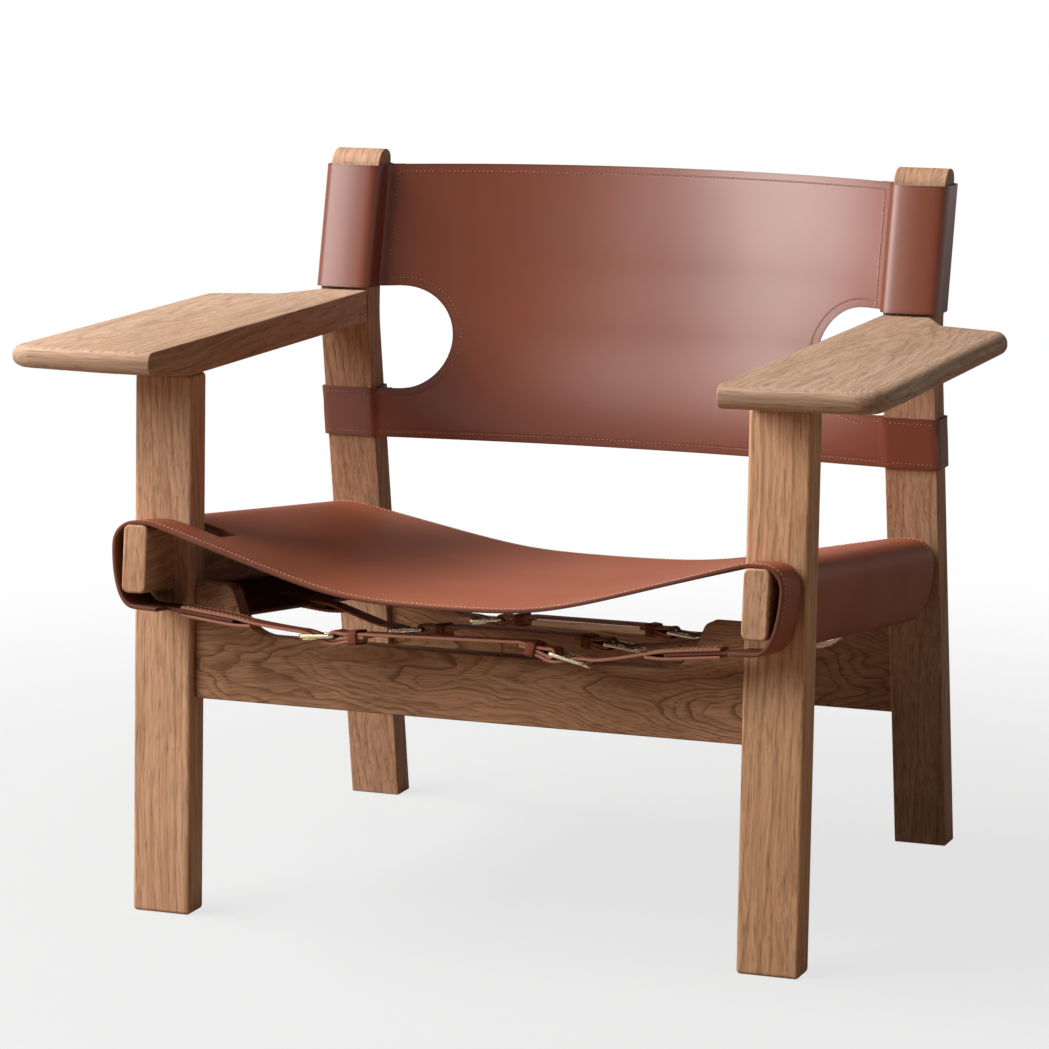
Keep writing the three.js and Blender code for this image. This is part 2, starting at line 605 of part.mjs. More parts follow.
function roundedRectangle(left, bottom, right, top, round) {
  const shape = new THREE.Shape();
  shape.moveTo(left + round, bottom);
  shape.absarc(right - round, bottom + round, round, -Math.PI / 2, 0, false);
  shape.absarc(right - round, top - round, round, 0, Math.PI / 2, false);
  shape.absarc(left + round, top - round, round, Math.PI / 2, Math.PI, false);
  shape.absarc(left + round, bottom + round, round, Math.PI, Math.PI * 1.5, false);
  return shape;
}

// The prong: an eye round the heel bar and a pin that lies against the front bar from below
function prong(buckle) {
  const eye = new THREE.Shape().absarc(0, 0, HOLE_RADIUS + PRONG_EYE_WALL, 0, Math.PI * 2, false);
  eye.holes.push(circle(0, 0, HOLE_RADIUS));
  const eyeRing = fromFront(eye, -PRONG_EYE_WIDTH / 2, PRONG_EYE_WIDTH / 2);
  const rest = BUCKLE_BAR / 2 + METAL_GAP + PRONG_WIRE / 2;
  const start = point(HOLE_RADIUS + PRONG_EYE_WALL / 2, PRONG_WIRE / 2);
  const end = point(BUCKLE_LENGTH + PRONG_OVERHANG, rest + 0.2);
  const pin = new THREE.CylinderGeometry(PRONG_WIRE / 2, PRONG_WIRE / 2, start.distanceTo(end), 8);
  pin.rotateZ(-Math.PI / 2);
  pin.rotateY(-Math.atan2(end.y - start.y, end.x - start.x));
  pin.translate((start.x + end.x) / 2, 0, (start.y + end.y) / 2);
  return join([atBuckle(eyeRing, buckle), atBuckle(pin, buckle)]);
}

// The slot in the leather that the prong swings in
function prongSlot(buckle, from, to, width) {
  return atBuckle(box(from, to, -width / 2, width / 2, -12, 14), buckle);
}

// Centre strap: a single layer with a folded end round each heel bar
function centreStrap(line) {
  const ends = [-1, 1].map((side) => buckleAt(line, side));
  const folds = ends.map((buckle) => {
    const outline = new THREE.Shape();
    outline.moveTo(-FOLD_LENGTH, -STRAP_LEATHER);
    outline.lineTo(-FOLD_RADIUS * 2, -STRAP_LEATHER);
    outline.lineTo(-FOLD_RADIUS * 0.55, -FOLD_RADIUS * 0.84);
    outline.absarc(0, 0, FOLD_RADIUS, -Math.PI * 0.68, Math.PI * 0.68, false);
    outline.lineTo(-FOLD_RADIUS * 2, STRAP_LEATHER);
    outline.lineTo(-FOLD_LENGTH, STRAP_LEATHER);
    outline.holes.push(circle(0, 0, HOLE_RADIUS));
    const fold = atBuckle(fromFront(outline, -STRAP_WIDTH / 2, STRAP_WIDTH / 2), buckle);
    const slotReach = FOLD_RADIUS + 3;
    return cut(fold, [prongSlot(buckle, -slotReach, slotReach, PRONG_EYE_WIDTH + 2 * METAL_GAP)]);
  });
  const low = -STRAP_LEATHER / 2;
  const inFold = -FOLD_LENGTH + 4;
  const middle = [
    ends[0].place(inFold, low),
    ends[0].place(-FOLD_LENGTH - 10, low),
    ends[1].place(-FOLD_LENGTH - 10, low),
    ends[1].place(inFold, low),
  ];
  const layer = ribbon(smooth(middle, 16), STRAP_LEATHER - 0.02);
  const span = fromFront(layer, line.along - STRAP_WIDTH / 2, line.along + STRAP_WIDTH / 2);
  return join([toSolid(span), ...folds]);
}

// Strap end: two sewn layers that hold a tongue of the seat, and a tail that runs through the buckle
function strapTail(buckle) {
  const { side, y } = buckle;
  const onTongue = (x) => {
    const share = (RAIL_INNER - FLAP_LENGTH - x) / (TONGUE_LENGTH - FLAP_LENGTH);
    return lerp(WRAP_BOTTOM - 1, TONGUE_TIP_FALL, share);
  };
  const apart = SEAT_LEATHER / 2 + LEATHER_GAP + STRAP_LEATHER / 2;
  const tabOuter = TONGUE_TIP + TAB_LENGTH;
  const root = TONGUE_TIP - 1.5;
  const right = (x, z) => point(x * side, z);
  const upper = [
    right(tabOuter, onTongue(tabOuter) + apart),
    right(TONGUE_TIP + TAB_LENGTH / 2, onTongue(TONGUE_TIP + TAB_LENGTH / 2) + apart),
    right(root, onTongue(root) + apart),
    right(root - 12, onTongue(root - 12) + apart / 2),
    buckle.place(BUCKLE_LENGTH + 12, TAIL_AT_FRONT - 1.2),
    buckle.place(BUCKLE_LENGTH, TAIL_AT_FRONT),
    buckle.place(BUCKLE_LENGTH * 0.62, -0.4),
    buckle.place(BUCKLE_LENGTH * 0.28, TAIL_AT_HEEL - 2),
    buckle.place(0, TAIL_AT_HEEL),
    buckle.place(-FOLD_RADIUS * 2, TAIL_AT_FOLD + 0.3),
    buckle.place(-TAIL_LENGTH, TAIL_AT_FOLD),
  ];
  const lower = [
    right(tabOuter, onTongue(tabOuter) - apart),
    right(TONGUE_TIP + TAB_LENGTH / 2, onTongue(TONGUE_TIP + TAB_LENGTH / 2) - apart),
    right(root, onTongue(root) - apart),
    right(root - 8, onTongue(root - 8) - apart),
  ];
  const seam = [right(root, onTongue(root)), right(root - 8, onTongue(root - 8))];
  const half = STRAP_WIDTH / 2;
  const layer = (points, thickness) => {
    const ordered = side > 0 ? [...points].reverse() : points;
    return toSolid(fromFront(ribbon(ordered, thickness), y - half, y + half));
  };
  const long = layer(smooth(upper, 40), STRAP_LEATHER);
  const strap = join([long, layer(lower, STRAP_LEATHER), layer(seam, 2 * apart)]);
  const reach = PRONG_WIRE + 2 * PRONG_SLOT_GAP;
  return cut(strap, [prongSlot(buckle, 2, BUCKLE_LENGTH * 0.82, reach)]);
}

// Keeper: a leather loop round the fold and the tail
function keeper(buckle) {
  const low = -STRAP_LEATHER - LEATHER_GAP;
  const high = TAIL_AT_FOLD + STRAP_LEATHER / 2 + LEATHER_GAP + 0.3;
  const half = STRAP_WIDTH / 2 + LEATHER_GAP;
  const wall = KEEPER_WALL;
  const loop = rectangle(-half - wall, low - wall, half + wall, high + wall);
  loop.holes.push(rectangle(-half, low, half, high));
  const near = -KEEPER_PLACE - KEEPER_WIDTH / 2;
  // The loop is drawn as (y, n) and extruded along the strap.
  return atBuckle(fromSide(loop, near, near + KEEPER_WIDTH), buckle);
}

// Back sling: where its seam lies beside each post, and its hollow middle surface
function seamY(z) {
  const share = clamp((z - BACK_BOTTOM_Z) / (SEAM_LEVEL_Z - BACK_BOTTOM_Z), 0, 1);
  return rearLegFace(z) + SEAM_SETBACK * share;
}

function backPanel() {
  const edge = CLEAR_HALF_WIDTH - SEAM_GAP;
  const columns = 20;
  const heights = [0, 0.09, 0.18, 0.3, 0.42, 0.51, 0.56, 0.7, 0.85, 1];
  const rows = heights.map((share) => {
    const z = lerp(BACK_BOTTOM_Z, BACK_TOP_Z, share);
    const sag = lerp(BACK_SAG_BOTTOM, BACK_SAG_TOP, share);
    const row = [];
    for (let i = 0; i <= columns; i++) {
      const t = (2 * i) / columns - 1;
      const hollow = 1 - Math.abs(t) ** BACK_SAG_POWER;
      row.push(new THREE.Vector3(t * edge, seamY(z) + sag * hollow, z));
    }
    return row;
  });
  return toSolid(thickSheet(rows, BACK_PANEL));
}

// The D-shaped hole beside a post, between the sleeve above and the band below
function cutout() {
  const radius = (SLEEVE_BOTTOM_Z - BAND_TOP_Z) / 2;
  const middle = (SLEEVE_BOTTOM_Z + BAND_TOP_Z) / 2;
  const centre = CLEAR_HALF_WIDTH - CUTOUT_REACH + radius;
  const shape = new THREE.Shape();
  shape.moveTo(REAR_LEG_OUTER + 30, BAND_TOP_Z);
  shape.lineTo(REAR_LEG_OUTER + 30, SLEEVE_BOTTOM_Z);
  shape.lineTo(centre, SLEEVE_BOTTOM_Z);
  shape.absarc(centre, middle, radius, Math.PI / 2, Math.PI * 1.5, false);
  const depth = BACK_SAG_TOP + 80;
  return toSolid(fromFront(shape, rearLegFace(middle) - depth, rearLegFace(middle) + depth));
}

// The sleeve round the upper post: a soft loop that narrows to the seam
function sleeveLoop(grow) {
  const inner = CLEAR_HALF_WIDTH;
  const side = REAR_LEG_OUTER + SLEEVE_SIDE_GAP + grow;
  const front = -SLEEVE_FACE_GAP - grow;
  const rear = REAR_LEG_DEPTH + SLEEVE_FACE_GAP + grow;
  const round = SLEEVE_ROUND + grow;
  const nose = inner - (grow > 0 ? SEAM_GAP + SEAM_OVERLAP : SEAM_GAP + 3);
  const noseHalf = grow > 0 ? grow + 0.2 : 0.2;
  const shape = new THREE.Shape();
  shape.moveTo(nose, SEAM_SETBACK - noseHalf);
  shape.lineTo(inner - SEAM_GAP - grow * 0.6, SEAM_SETBACK - noseHalf - 1.5);
  shape.lineTo(inner - grow * 0.3, front);
  shape.quadraticCurveTo((inner + side) / 2, front - SLEEVE_BULGE, side - round, front);
  shape.absarc(side - round, front + round, round, -Math.PI / 2, 0, false);
  shape.absarc(side - round, rear - round, round, 0, Math.PI / 2, false);
  shape.lineTo(inner - grow * 0.3, rear);
  shape.lineTo(inner - SEAM_GAP - grow * 0.6, SEAM_SETBACK + noseHalf + 1.5);
  shape.lineTo(nose, SEAM_SETBACK + noseHalf);
  return shape;
}

function sleeve() {
  const shape = sleeveLoop(BACK_LEATHER);
  shape.holes.push(sleeveLoop(0));
  return toSolid(fromPlan(shape, SLEEVE_BOTTOM_Z, BACK_TOP_Z, UPPER_LEAN, rearLegFace(SLEEVE_BOTTOM_Z)));
}

// The band round the lower post: a tight loop whose front layer runs on into the panel
function band() {
  const gap = LEATHER_GAP;
  const wall = BACK_LEATHER;
  const inner = CLEAR_HALF_WIDTH - gap;
  const outer = REAR_LEG_OUTER + gap;
  const rear = REAR_LEG_DEPTH + gap;
  const shape = rectangle(inner - wall, -gap - wall, outer + wall, rear + wall);
  shape.holes.push(rectangle(inner, -gap, outer, rear));
  const loop = toSolid(fromPlan(shape, BACK_BOTTOM_Z, BAND_TOP_Z, LOWER_LEAN, rearLegFace(BACK_BOTTOM_Z)));
  const reach = polygon([
    point(CLEAR_HALF_WIDTH - SEAM_OVERLAP - SEAM_GAP, 0.2),
    point(inner - 0.5, -gap - wall),
    point(inner - 0.5, 9),
    point(CLEAR_HALF_WIDTH - SEAM_OVERLAP - SEAM_GAP, 6),
  ]);
  const web = toSolid(fromPlan(reach, BACK_BOTTOM_Z, BAND_TOP_Z, LOWER_LEAN, rearLegFace(BACK_BOTTOM_Z)));
  return join([loop, web]);
}

function backSling() {
  const holes = [cutout(), mirrored(cutout(), -1)];
  const loops = [sleeve(), band()];
  return join([cut(backPanel(), holes), ...loops, ...loops.map((loop) => mirrored(loop, -1))]);
}

// The chair
for (const [sideName, side] of [
  ["left", -1],
  ["right", 1],
]) {
  addPart(chair, `front_leg_${sideName}`, mirrored(frontLeg(), side), oak());
  addPart(chair, `rear_leg_${sideName}`, mirrored(rearLeg(), side), oak());
  addPart(chair, `side_rail_${sideName}`, mirrored(toSolid(railBody(0)), side), oak());
  addPart(chair, `armrest_${sideName}`, mirrored(armrest(), side), oak());
  addPart(chair, `arm_dowel_inner_${sideName}`, mirrored(toSolid(dowel(-1, 0)), side), oak());
  addPart(chair, `arm_dowel_outer_${sideName}`, mirrored(toSolid(dowel(1, 0)), side), oak());
}
addPart(chair, "front_stretcher", stretcher("front"), oak());
addPart(chair, "rear_stretcher", stretcher("rear"), oak());
addPart(seat, "seat_sling", seatSling(), leather());
addPart(chair, "back_sling", backSling(), leather());
for (const line of STRAP_LINES) {
  addPart(seat, `centre_strap_${line.name}`, centreStrap(line), leather());
  for (const [sideName, side] of [
    ["left", -1],
    ["right", 1],
  ]) {
    const buckle = buckleAt(line, side);
    addPart(seat, `strap_end_${line.name}_${sideName}`, strapTail(buckle), leather());
    addPart(seat, `buckle_frame_${line.name}_${sideName}`, buckleFrame(buckle), brass());
    addPart(seat, `buckle_prong_${line.name}_${sideName}`, prong(buckle), brass());
    addPart(seat, `strap_keeper_${line.name}_${sideName}`, keeper(buckle), leather());
  }
}

export default chair;
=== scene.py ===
# %% [markdown]
# # A leather sling lounge chair
# An oak frame carries a seat and a back of thick saddle leather. The seat is one sheet slung over two
# sloping rails and pulled tight from below by three buckled straps. The back is one sheet with sleeves
# that slip over the rear posts. The solid model is loaded first as a fixed frame, and every piece in this
# lesson is made in metres at the same place, so nothing has to be fitted afterwards.

# %% Load the solid model
import math
from functools import partial

import bmesh
import bpy
from mathutils import Matrix, Vector, kdtree


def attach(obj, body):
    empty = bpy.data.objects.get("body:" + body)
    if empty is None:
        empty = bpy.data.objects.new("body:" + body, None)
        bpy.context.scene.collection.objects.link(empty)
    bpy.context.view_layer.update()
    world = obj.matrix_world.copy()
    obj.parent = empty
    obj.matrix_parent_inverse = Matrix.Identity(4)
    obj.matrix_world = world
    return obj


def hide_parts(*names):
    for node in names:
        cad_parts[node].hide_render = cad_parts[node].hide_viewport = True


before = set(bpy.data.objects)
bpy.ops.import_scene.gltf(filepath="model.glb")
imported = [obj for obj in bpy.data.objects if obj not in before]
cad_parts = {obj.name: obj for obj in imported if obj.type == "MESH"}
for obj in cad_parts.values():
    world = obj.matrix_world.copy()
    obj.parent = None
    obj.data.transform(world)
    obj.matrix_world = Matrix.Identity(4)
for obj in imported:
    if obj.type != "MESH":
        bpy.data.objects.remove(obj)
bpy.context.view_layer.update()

# %% [markdown]
# ## Camera
# The chair is seen from its right front, a little above the arms, through a long lens. A long lens keeps
# the four posts nearly parallel, which is why the camera stands almost four metres away.

# %% Camera
CAMERA_PLACE, LOOKS_DOWN, TURNS_LEFT = (1.3999, -3.6875, 1.0551), 0.1779, 0.3685
SENSOR, LENS = 36, 146.31
bpy.ops.object.select_all(action="DESELECT")
bpy.ops.object.camera_add(location=CAMERA_PLACE, rotation=(math.pi / 2 - LOOKS_DOWN, 0, TURNS_LEFT))
camera = bpy.context.object
camera.name = "chair_camera"
camera.data.sensor_width = SENSOR
camera.data.lens = LENS
bpy.context.scene.camera = camera
bpy.context.scene.view_settings.view_transform = "Standard"
print("camera lens", camera.data.lens)

# %% [markdown]
# ## Node helpers
# A procedural finish is a small network of nodes. A few helpers keep the cells short: they add a node and
# fill or link its sockets, spread a value between two limits as a soft mask, do one step of arithmetic, mix
# two colours, and make noise that can be stretched along the grain.


# %% Node helpers
def add_node(tree, kind, sockets=None, **options):
    """Adds a shader node, sets its options, and fills or links its input sockets."""
    made = tree.nodes.new("ShaderNode" + kind)
    for option, value in options.items():
        setattr(made, option, value)
    for key, value in (sockets or {}).items():
        if isinstance(value, bpy.types.NodeSocket):
            tree.links.new(value, made.inputs[key])
        else:
            made.inputs[key].default_value = value
    return made


def soft_mask(tree, value, low, high, start=0.0, end=1.0):
    """A mask that goes smoothly from start to end while the value goes from low to high."""
    limits = {"Value": value, "From Min": low, "From Max": high, "To Min": start, "To Max": end}
    return add_node(tree, "MapRange", limits, interpolation_type="SMOOTHSTEP").outputs[0]


def combine(tree, operation, first, second=0.0):
    """One step of arithmetic between two values."""
    return add_node(tree, "Math", {0: first, 1: second}, operation=operation).outputs[0]


def combine_vectors(tree, operation, first, second):
    """One step of arithmetic between two vectors, or with a number to SCALE by."""
    key = "Scale" if operation == "SCALE" else 1
    return add_node(tree, "VectorMath", {0: first, key: second}, operation=operation).outputs[0]


def distance(tree, vector):
    """How far a place is from the origin."""
    return add_node(tree, "VectorMath", {0: vector}, operation="LENGTH").outputs["Value"]


def blend_colours(tree, share, first, second, way="MIX"):
    """Mixes two colours by a share from 0 to 1."""
    colours = {0: share, 6: first, 7: second}
    return add_node(tree, "Mix", colours, data_type="RGBA", blend_type=way).outputs[2]


def stretched_noise(tree, vector, stretch, detail=2.0):
    """Noise on coordinates that are multiplied per axis, so that it can run along the grain."""
    scaled = combine_vectors(tree, "MULTIPLY", vector, stretch)
    return add_node(tree, "TexNoise", {"Vector": scaled, "Scale": 1.0, "Detail": detail})


def tools_for(tree):
    """The helpers for arithmetic, masks, mixing and noise, set to work in one tree."""
    return [partial(helper, tree) for helper in (combine, soft_mask, blend_colours, stretched_noise)]


print("node helpers ready")

# %% [markdown]
# ## Floor and light
# The studio is plain: a pale floor, two large soft lamps at the left, a weaker one overhead, and two faint
# warm fills at the right and the rear. The lamp at the left front is what makes the right half of the hollow
# back shine. To the eye the floor is mostly plain white, and in reflections it is white only far away, so the
# background stays white without more light on the chair. Less white near the chair keeps the soft shadow
# under it.

# %% Floor
FLOOR_SIZE, WARM_BOUNCE = 60, (0.28, 0.2, 0.145, 1)
SEEN_WHITE, MIRRORED_WHITE = (0.5, 1.8, 0.74), (5.0, 10.0)


def in_mirrors(tree, ray):
    """1 for a ray that has been reflected or bent by a surface."""
    return combine(tree, "ADD", ray["Is Glossy Ray"], ray["Is Transmission Ray"])


bpy.ops.object.select_all(action="DESELECT")
bpy.ops.mesh.primitive_plane_add(size=FLOOR_SIZE, location=(0, 0, 0))
floor = bpy.context.object
floor.name = "studio_floor"
floor_paint = bpy.data.materials.new("studio_floor")
floor_paint.use_nodes = True
tree = floor_paint.node_tree
calc, mask, mix, noise = tools_for(tree)
paint = tree.nodes["Principled BSDF"]
paint.inputs["Roughness"].default_value = 0.9
paint.inputs["Specular IOR Level"].default_value = 0.1
floor_place = add_node(tree, "TexCoord").outputs["Object"]
speck = noise(floor_place, (40, 40, 40)).outputs[0]
pale = mix(speck, (0.31, 0.31, 0.306, 1), (0.34, 0.34, 0.336, 1))
ray = add_node(tree, "LightPath").outputs
tree.links.new(mix(ray["Is Diffuse Ray"], pale, WARM_BOUNCE), paint.inputs["Base Color"])
reach = distance(tree, floor_place)
seen_white = calc("MULTIPLY", mask(reach, *SEEN_WHITE), ray["Is Camera Ray"])
mirrored_white = calc("MULTIPLY", mask(reach, *MIRRORED_WHITE), in_mirrors(tree, ray))
white = add_node(tree, "Emission", {"Color": (1, 1, 1, 1), "Strength": 1.0}).outputs[0]
white_share = calc("ADD", seen_white, mirrored_white)
ground = add_node(tree, "MixShader", {0: white_share, 1: paint.outputs[0], 2: white}).outputs[0]
tree.links.new(ground, tree.nodes["Material Output"].inputs["Surface"])
floor.data.materials.append(floor_paint)
print("floor", floor.dimensions[:2])

# %% World
AIR_LIGHT, OVERHEAD_WHITE = 0.025, 0.12
world = bpy.data.worlds.new("studio_air")
bpy.context.scene.world = world
world.use_nodes = True
tree = world.node_tree
calc, mask = tools_for(tree)[:2]
ray = add_node(tree, "LightPath").outputs
look = add_node(tree, "TexCoord").outputs["Generated"]
height = calc("ABSOLUTE", add_node(tree, "SeparateXYZ", {0: look}).outputs["Z"])
mirrored = calc("MULTIPLY", in_mirrors(tree, ray), mask(height, 0.06, 0.25, 1.0, OVERHEAD_WHITE))
white = calc("ADD", ray["Is Camera Ray"], mirrored)
white = calc("ADD", white, calc("MULTIPLY", ray["Is Diffuse Ray"], AIR_LIGHT))
air = add_node(tree, "Background", {"Color": (1, 1, 1, 1), "Strength": white}).outputs[0]
tree.links.new(air, tree.nodes["World Output"].inputs["Surface"])
print("world light", AIR_LIGHT)

# %% Lamps
LAMP_AIM, WARM = Vector((0, 0, 0.4)), (1, 0.86, 0.72)
LAMPS = (
    ("softbox_left_front", (-2.13, -1.85, 2.30), 130, (1.9, 2.6)),
    ("softbox_left", (-2.27, -0.20, 2.93), 95, (1.2, 1.2)),
    ("softbox_top", (0, 0, 3.8), 10, (1.4, 1.4)),
    ("fill_right", (2.8, -0.6, 1.1), 6, (1.6, 1.6)),
    ("fill_rear", (-1.2, 2.8, 1.4), 13, (1.6, 1.6)),
)
for name, place, power, size in LAMPS:
    bpy.ops.object.select_all(action="DESELECT")
    turn = (LAMP_AIM - Vector(place)).to_track_quat("-Z", "Y").to_euler()
    bpy.ops.object.light_add(type="AREA", location=place, rotation=turn)
    lamp = bpy.context.object
    lamp.name = name
    lamp.data.shape = "RECTANGLE"
    lamp.data.size, lamp.data.size_y = size
    lamp.data.energy = power
    if name.startswith("fill"):
        lamp.data.color = WARM
        lamp.visible_glossy = False
    print(name, power, "W")

# %% [markdown]
# ## Oak
# Oak shows its yearly rings as dark lines: straight on a leg that is cut across the rings, and as long
# arches on a flat board. Rings are cylinders round the middle of the tree, so the group measures the
# distance from an axis and cuts it into years. Slow noise bends the axis a little, and fine noise
# stretched along the grain adds fibres and the small dark pores that oak is known for. Where a piece ends,
# the chair shows streaks that run along the end, so the pattern is turned there.


# %% Group helpers
def new_group(name, values):
    """A node group that takes a place and named values, and gives a colour, a roughness and a height."""
    group = bpy.data.node_groups.new(name, "ShaderNodeTree")

    def add_socket(label, way, kind):
        return group.interface.new_socket(name=label, in_out=way, socket_type="NodeSocket" + kind)

    add_socket("Vector", "INPUT", "Vector")
    for label, value in values.items():
        add_socket(label, "INPUT", "Float" if isinstance(value, float) else "Color").default_value = value
    for label, kind in (("Color", "Color"), ("Roughness", "Float"), ("Height", "Float")):
        add_socket(label, "OUTPUT", kind)
    return group, group.nodes.new("NodeGroupInput").outputs


def close_group(group, colour, roughness, height):
    """Links what the group gives."""
    result = group.nodes.new("NodeGroupOutput").inputs
    for label, value in (("Color", colour), ("Roughness", roughness), ("Height", height)):
        group.links.new(value, result[label])
    print(group.name, "group,", len(group.nodes), "nodes")


# %% Oak rings
oak_grain, given = new_group("oak_grain", {
    "Ring width": 0.0045,
    "Waviness": 0.02,
    "Figure": 0.45,
    "Pale": (0.7, 0.41, 0.248, 1),
    "Deep": (0.25, 0.116, 0.056, 1),
})
calc, mask, mix, noise = tools_for(oak_grain)


def wander(stretch, amount):
    """A small random shift of every point, for grain that isn't ruled with a straight edge."""
    shift = noise(given["Vector"], stretch).outputs["Color"]
    shift = combine_vectors(oak_grain, "SUBTRACT", shift, (0.5, 0.5, 0.5))
    return combine_vectors(oak_grain, "SCALE", shift, amount)


bent = given["Vector"]
curl = wander((26, 26, 11), calc("MULTIPLY", given["Waviness"], 0.3))
for shift in (wander((8, 8, 2.4), given["Waviness"]), curl, wander((60, 60, 9), 0.0035)):
    bent = combine_vectors(oak_grain, "ADD", bent, shift)
radius = distance(oak_grain, combine_vectors(oak_grain, "MULTIPLY", bent, (1, 1, 0)))
years = calc("DIVIDE", radius, given["Ring width"])
season = calc("FRACT", years)
year_tone = add_node(oak_grain, "TexWhiteNoise", {"W": calc("FLOOR", years)}, noise_dimensions="1D")
early = calc("MULTIPLY", mask(season, 0.0, 0.6, 1.0, 0.0), mask(season, 0.0, 0.12))
strength = mask(year_tone.outputs["Value"], 0.0, 1.0, 0.25, 1.0)
ring_line = calc("MULTIPLY", calc("MULTIPLY", early, strength), given["Figure"])
print("rings,", len(oak_grain.nodes), "nodes so far")

# %% Oak fibres and pores
streak = mask(noise(bent, (150, 150, 4), 3.0).outputs[0], 0.38, 0.72, 0.0, 0.36)
fibre_noise = noise(bent, (640, 640, 15), 4.0).outputs[0]
fibre = mask(fibre_noise, 0.45, 0.72, 0.0, 0.5)
fleck = mask(fibre_noise, 0.44, 0.28, 0.0, 0.5)
pore_noise = noise(bent, (950, 950, 38), 1.0).outputs[0]
pore_share = calc("ADD", calc("MULTIPLY", early, 0.6), 0.4)
pores = calc("MULTIPLY", mask(pore_noise, 0.56, 0.68), pore_share)
cloud = noise(given["Vector"], (13, 13, 3.0)).outputs[0]
wood = mix(ring_line, given["Pale"], given["Deep"])
for share, tone in ((streak, "Deep"), (fibre, "Deep"), (fleck, "Pale")):
    wood = mix(share, wood, given[tone])
wood = mix(mask(cloud, 0.35, 0.7, 0.0, 0.5), wood, (0.78, 0.69, 0.6, 1), "MULTIPLY")
wood = mix(calc("MULTIPLY", pores, 0.46), wood, (0.085, 0.034, 0.015, 1))
rough = calc("ADD", calc("MULTIPLY", pores, 0.2), 0.54)
relief = calc("SUBTRACT", 1.0, calc("MULTIPLY", pores, 0.8))
relief = calc("SUBTRACT", relief, calc("MULTIPLY", fibre, 0.4))
close_group(oak_grain, wood, rough, relief)


# %% Oak finishes
def finish_with(name, group, values, place, bump, depth, shader_values):
    """A material whose colour, roughness and relief come from a group placed on the given coordinates."""
    material = bpy.data.materials.new(name)
    material.use_nodes = True
    tree = material.node_tree
    shader = tree.nodes["Principled BSDF"]
    for key, value in shader_values.items():
        shader.inputs[key].default_value = value
    pattern = tree.nodes.new("ShaderNodeGroup")
    pattern.node_tree = group
    for key, value in values.items():
        pattern.inputs[key].default_value = value
    spot = add_node(tree, "TexCoord").outputs["Object"]
    tree.links.new(place(tree, spot), pattern.inputs["Vector"])
    tree.links.new(pattern.outputs["Color"], shader.inputs["Base Color"])
    tree.links.new(pattern.outputs["Roughness"], shader.inputs["Roughness"])
    lift = add_node(tree, "Bump", {"Strength": bump, "Distance": depth, "Height": pattern.outputs["Height"]})
    tree.links.new(lift.outputs["Normal"], shader.inputs["Normal"])
    return material


def oak_finish(name, turn, shift, tilt=(0, 0, 0), end="", end_turn=(0, 0, 0), end_scale=(1, 1, 1),
               end_shift=(0, 0, 0), end_from=0.64, **values):
    """Oak whose grain runs along the turned Z axis, with the middle of the tree at minus shift."""
    def place(tree, spot):
        tilted = add_node(tree, "Mapping", {"Vector": spot, "Rotation": tilt}).outputs[0]
        along = add_node(tree, "Mapping", {"Vector": tilted, "Rotation": turn, "Location": shift}).outputs[0]
        if not end:
            return along
        normal = add_node(tree, "NewGeometry").outputs["Normal"]
        facing = combine(tree, "ABSOLUTE", add_node(tree, "SeparateXYZ", {0: normal}).outputs[end])
        end_place = [a + b for a, b in zip(shift, end_shift)]
        turned = {"Vector": spot, "Rotation": end_turn, "Location": end_place, "Scale": end_scale}
        over_end = add_node(tree, "Mapping", turned).outputs[0]
        change = combine_vectors(tree, "SUBTRACT", over_end, along)
        share = soft_mask(tree, facing, end_from, end_from + 0.04)
        return combine_vectors(tree, "ADD", along, combine_vectors(tree, "SCALE", change, share))
    named = {key.replace("_", " ").capitalize(): value for key, value in values.items()}
    return finish_with(name, oak_grain, named, place, 0.4, 0.0006, {"Specular IOR Level": 0.18})


UPRIGHT, LENGTHWISE, CROSSWISE = (0, 0, 0), (math.pi / 2, 0, 0), (0, -math.pi / 2, 0)
POST_OAK = {"end": "Z", "end_turn": LENGTHWISE, "ring_width": 0.0062, "waviness": 0.022, "figure": 0.5}
RIGHT_LEG = {"pale": (0.8, 0.475, 0.275, 1), "deep": (0.29, 0.135, 0.06, 1)}
oak_leg = {
    "left": oak_finish("oak_leg_left", UPRIGHT, (0.05, 0.1, 0), **POST_OAK),
    "right": oak_finish("oak_leg_right", UPRIGHT, (-0.2, 0.16, 0.2), **POST_OAK, **RIGHT_LEG),
}
# Over the rounded top of a rear post, the lines of its front face run on towards the back.
FRONT_OF_TOP, TOP_SHARE = 0.226, 0.12
ROUND_TOP = {"end_turn": UPRIGHT, "end_scale": (1, TOP_SHARE, 1),
             "end_shift": (0, (1 - TOP_SHARE) * FRONT_OF_TOP, 0), "end_from": 0.32,
             "pale": (0.57, 0.335, 0.205, 1), "deep": (0.2, 0.092, 0.045, 1)}
oak_post = oak_finish("oak_post", UPRIGHT, (0.04, -0.05, 0.3), **{**POST_OAK, **ROUND_TOP})
oak_rail = oak_finish("oak_rail", LENGTHWISE, (0.0, 0.35, 0), end="Y", end_turn=UPRIGHT, ring_width=0.005)
ARM_OAK = {"end": "Y", "end_turn": CROSSWISE, "waviness": 0.03, "figure": 0.4,
           "pale": (0.58, 0.38, 0.257, 1), "deep": (0.235, 0.126, 0.07, 1)}
oak_arm_right = oak_finish("oak_arm_right", LENGTHWISE, (-0.335, 0.475, 0), (0.05, 0, 0), **ARM_OAK)
oak_arm_left = oak_finish("oak_arm_left", LENGTHWISE, (0.36, 0.47, 0.3), (-0.05, 0, 0), **ARM_OAK)
# The boards' oak is much darker than the legs': partly darker wood, partly painted shade from under the seat.
BOARD_OAK_AND_SHADE = {"pale": (0.5, 0.265, 0.145, 1), "deep": (0.14, 0.058, 0.026, 1),
             "figure": 0.95, "ring_width": 0.0026, "waviness": 0.06}
